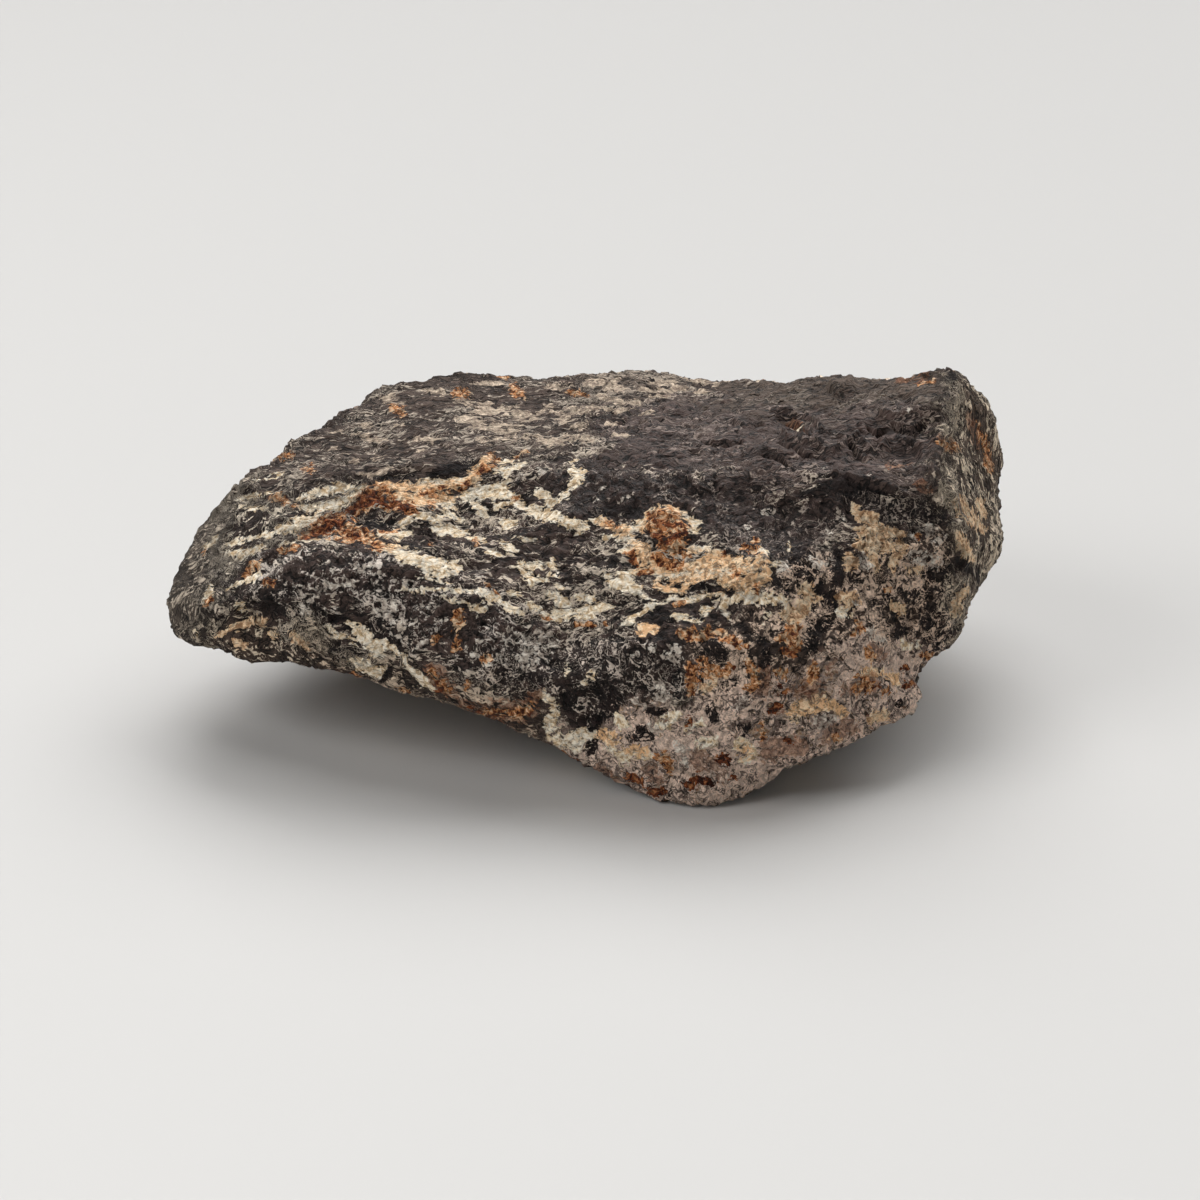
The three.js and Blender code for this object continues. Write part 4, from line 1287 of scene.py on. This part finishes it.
# %% Stone material: veins and the film of lime
ragged = -6.5
for pattern, weight in ((lace[0], 5.5), (crumb[0], 7.5), (painted["bulge"], -0.6)):
    ragged = add(tree, MATH, [pattern, weight, ragged], operation="MULTIPLY_ADD")
# Black marks, partly bare crust and partly painted shade, darken the crust to nearly black.
black_edge = add(tree, MATH, [painted["black"], ragged], operation="ADD")
black_share = add(tree, STEP, {"Value": black_edge, "From Min": -0.30, "From Max": 0.10}, **SMOOTH)
film = -2.5
for pattern, weight in ((painted["veil"], 1.0), (ragged, 1.0), (drift[2], 5.0), (black_share, -2.0)):
    film = add(tree, MATH, [pattern, weight, film], operation="MULTIPLY_ADD")
mottled = {"Value": crumb[1], "From Min": 0.40, "From Max": 0.60, "To Min": 0.65, "To Max": 1.20}
film_tone = add(tree, STEP, mottled)
film_colour = add(tree, VECTOR, {0: painted["fleck"], "Scale": film_tone}, operation="SCALE")
black_colour = add(tree, VECTOR, {0: linear("#1d1412")[:3], "Scale": painted_shade_and_tone}, operation="SCALE")
OVER_THE_CRUST = (  # (value, where it starts, where it is full, colour)
    (black_share, 0.0, 1.0, black_colour),
    # the rim of painted highlight, then the pale veins
    (inside["rim"], -0.003, 0.007, painted["fleck"]),
    (inside["vein"], -0.003, 0.007, painted["fleck"]),
    (film, -0.10, 0.14, film_colour),
)
for value, start, full, over in OVER_THE_CRUST:
    share = add(tree, STEP, {"Value": value, "From Min": start, "From Max": full}, **SMOOTH)
    colour = add(tree, MIX, {0: share, 6: colour, 7: over}, 2, data_type="RGBA")

# %% Stone material: coatings, each over the ones before
pick = add(tree, MATH, [even_crumb[1], 0.7], operation="MULTIPLY")  # which of its colours a coating has
pick = add(tree, MATH, [lace[2], 0.3, pick], operation="MULTIPLY_ADD")
darker = add(tree, STEP, {"Value": pick, "From Min": 0.43, "From Max": 0.48}, **SMOOTH)
lighter = add(tree, STEP, {"Value": pick, "From Min": 0.51, "From Max": 0.56}, **SMOOTH)
fine_ragged = add(tree, MATH, [crumb[0], 9.0, -4.5], operation="MULTIPLY_ADD")
COATINGS = {
    # name: (dark, usual and light colour, what frays its edge, how much it hides, tone of its holes)
    "tan": ("#b38c69", "#f1cda5", "#f4dcbc", ragged, 1.0, 0.75),
    "dust": ("#9d8b7c", "#c4b09b", "#e6d2bb", ragged, 0.9, 0.75),
    "lime": ("#bfa480", "#e8d6ba", "#f2e8d6", ragged, 1.0, 0.75),
    "pale": ("#a3968a", "#cdc0b2", "#ece3d6", fine_ragged, 0.9, 0.80),
    "blush": ("#5c3c2c", "#8f6148", "#b58a6d", ragged, 0.7, 0.60),
    "rust": ("#542713", "#c88a59", "#edcba6", ragged, 1.0, 0.45),
    "deep_rust": ("#32170d", "#7a3f22", "#b87a4e", ragged, 1.0, 0.45),
}
stain = add(tree, MATH, [ragged, 0.8, painted["stain"]], operation="MULTIPLY_ADD")
stain = add(tree, STEP, {"Value": stain, "From Min": -0.3, "From Max": 0.9, "To Max": 0.9})
dullness = 0.0
for name, (*shades, fray, hides, hole_tone) in COATINGS.items():
    deep = add(tree, MATH, [painted[name], fray], operation="ADD")
    edge = {"Value": deep, "From Min": -0.20, "From Max": 0.02, "To Max": hides}
    mask = add(tree, STEP, edge, **SMOOTH)
    dark, usual, light = (linear(hex_colour) for hex_colour in shades)
    coat = add(tree, MIX, {0: darker, 6: dark, 7: usual}, 2, data_type="RGBA")
    coat = add(tree, MIX, {0: lighter, 6: coat, 7: light}, 2, data_type="RGBA")
    if name == "lime":  # rust has run into some of it and left it orange
        lime_mask = mask
        oranges = {0: lighter, 6: linear("#ddb083"), 7: linear("#f4d5ae")}
        orange = add(tree, MIX, oranges, 2, data_type="RGBA")
        coat = add(tree, MIX, {0: stain, 6: coat, 7: orange}, 2, data_type="RGBA")
        hole_tone = add(tree, MATH, [stain, -0.38, hole_tone], operation="MULTIPLY_ADD")
    pitted = {"Value": even_crumb[0], "From Min": 0.43, "From Max": 0.51, "To Min": hole_tone}
    holes = add(tree, STEP, pitted, **SMOOTH)
    coat = add(tree, VECTOR, {0: coat, "Scale": holes}, operation="SCALE")
    colour = add(tree, MIX, {0: mask, 6: colour, 7: coat}, 2, data_type="RGBA")
    dullness = add(tree, MATH, [dullness, mask], operation="MAXIMUM")
# Painted shade: crevices are darkened to about a quarter, less where a coating fills them, and the rest of
# the stone is made a little lighter.
crevice_shade_depth = add(tree, MATH, [dullness, 0.50, -0.85], operation="MULTIPLY_ADD")  # less where coated
crevice_shade_tone = add(tree, MATH, [painted_crevice_shade, crevice_shade_depth, 1.08], operation="MULTIPLY_ADD")
colour = add(tree, VECTOR, {0: colour, "Scale": crevice_shade_tone}, operation="SCALE")
tree.links.new(colour, shader.inputs["Base Color"])

# %% Stone material: sheen and the finest relief
sheen_left = add(tree, MATH, [1.0, dullness], operation="SUBTRACT")
sheen_left = add(tree, MATH, [sheen_left, painted["sheen"]], operation="MULTIPLY")
roughness = add(tree, MATH, [sheen_left, -0.42, 0.90], operation="MULTIPLY_ADD")
tree.links.new(roughness, shader.inputs["Roughness"])

bump_height = 0.0  # mm
for pattern, weight in ((lit_flake, 0.10), (shaded_pit, 0.06), (crumb[0], 0.6), (lace[0], 0.8)):
    bump_height = add(tree, MATH, [pattern, weight, bump_height], operation="MULTIPLY_ADD")
filled = add(tree, MATH, [lime_mask, -0.6, 1.0], operation="MULTIPLY_ADD")  # lime has filled the hollows
bump_height = add(tree, MATH, [bump_height, filled], operation="MULTIPLY")
bump = add(tree, "ShaderNodeBump", {"Strength": 1.0, "Distance": 1 * MM, "Height": bump_height})
tree.links.new(bump, shader.inputs["Normal"])

# %% Raise the relief
TRIANGLES = 196_000  # triangles that the stone is decimated to; the most that the stone may have is 200,000

raiser = stone.modifiers.new("relief", "NODES")
raiser.node_group = relief
raiser[sockets["Material"].identifier] = chondrite
raiser[sockets["Seed"].identifier] = 7.0
for name, size in RELIEF_SIZES.items():
    raiser[sockets[name].identifier] = size
skin_mesh = made_plain(stone)
skin_mesh = made_plain(stone, [("DECIMATE", {"ratio": TRIANGLES / (2 * len(skin_mesh.polygons))})])
for face in skin_mesh.polygons:
    face.use_smooth = True
triangles = sum(len(face.vertices) - 2 for face in skin_mesh.polygons)
print("stone:", triangles, "triangles, maps:", [layer.name for layer in skin_mesh.attributes])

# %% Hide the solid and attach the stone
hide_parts(STONE_NODE)
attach(stone, "root")
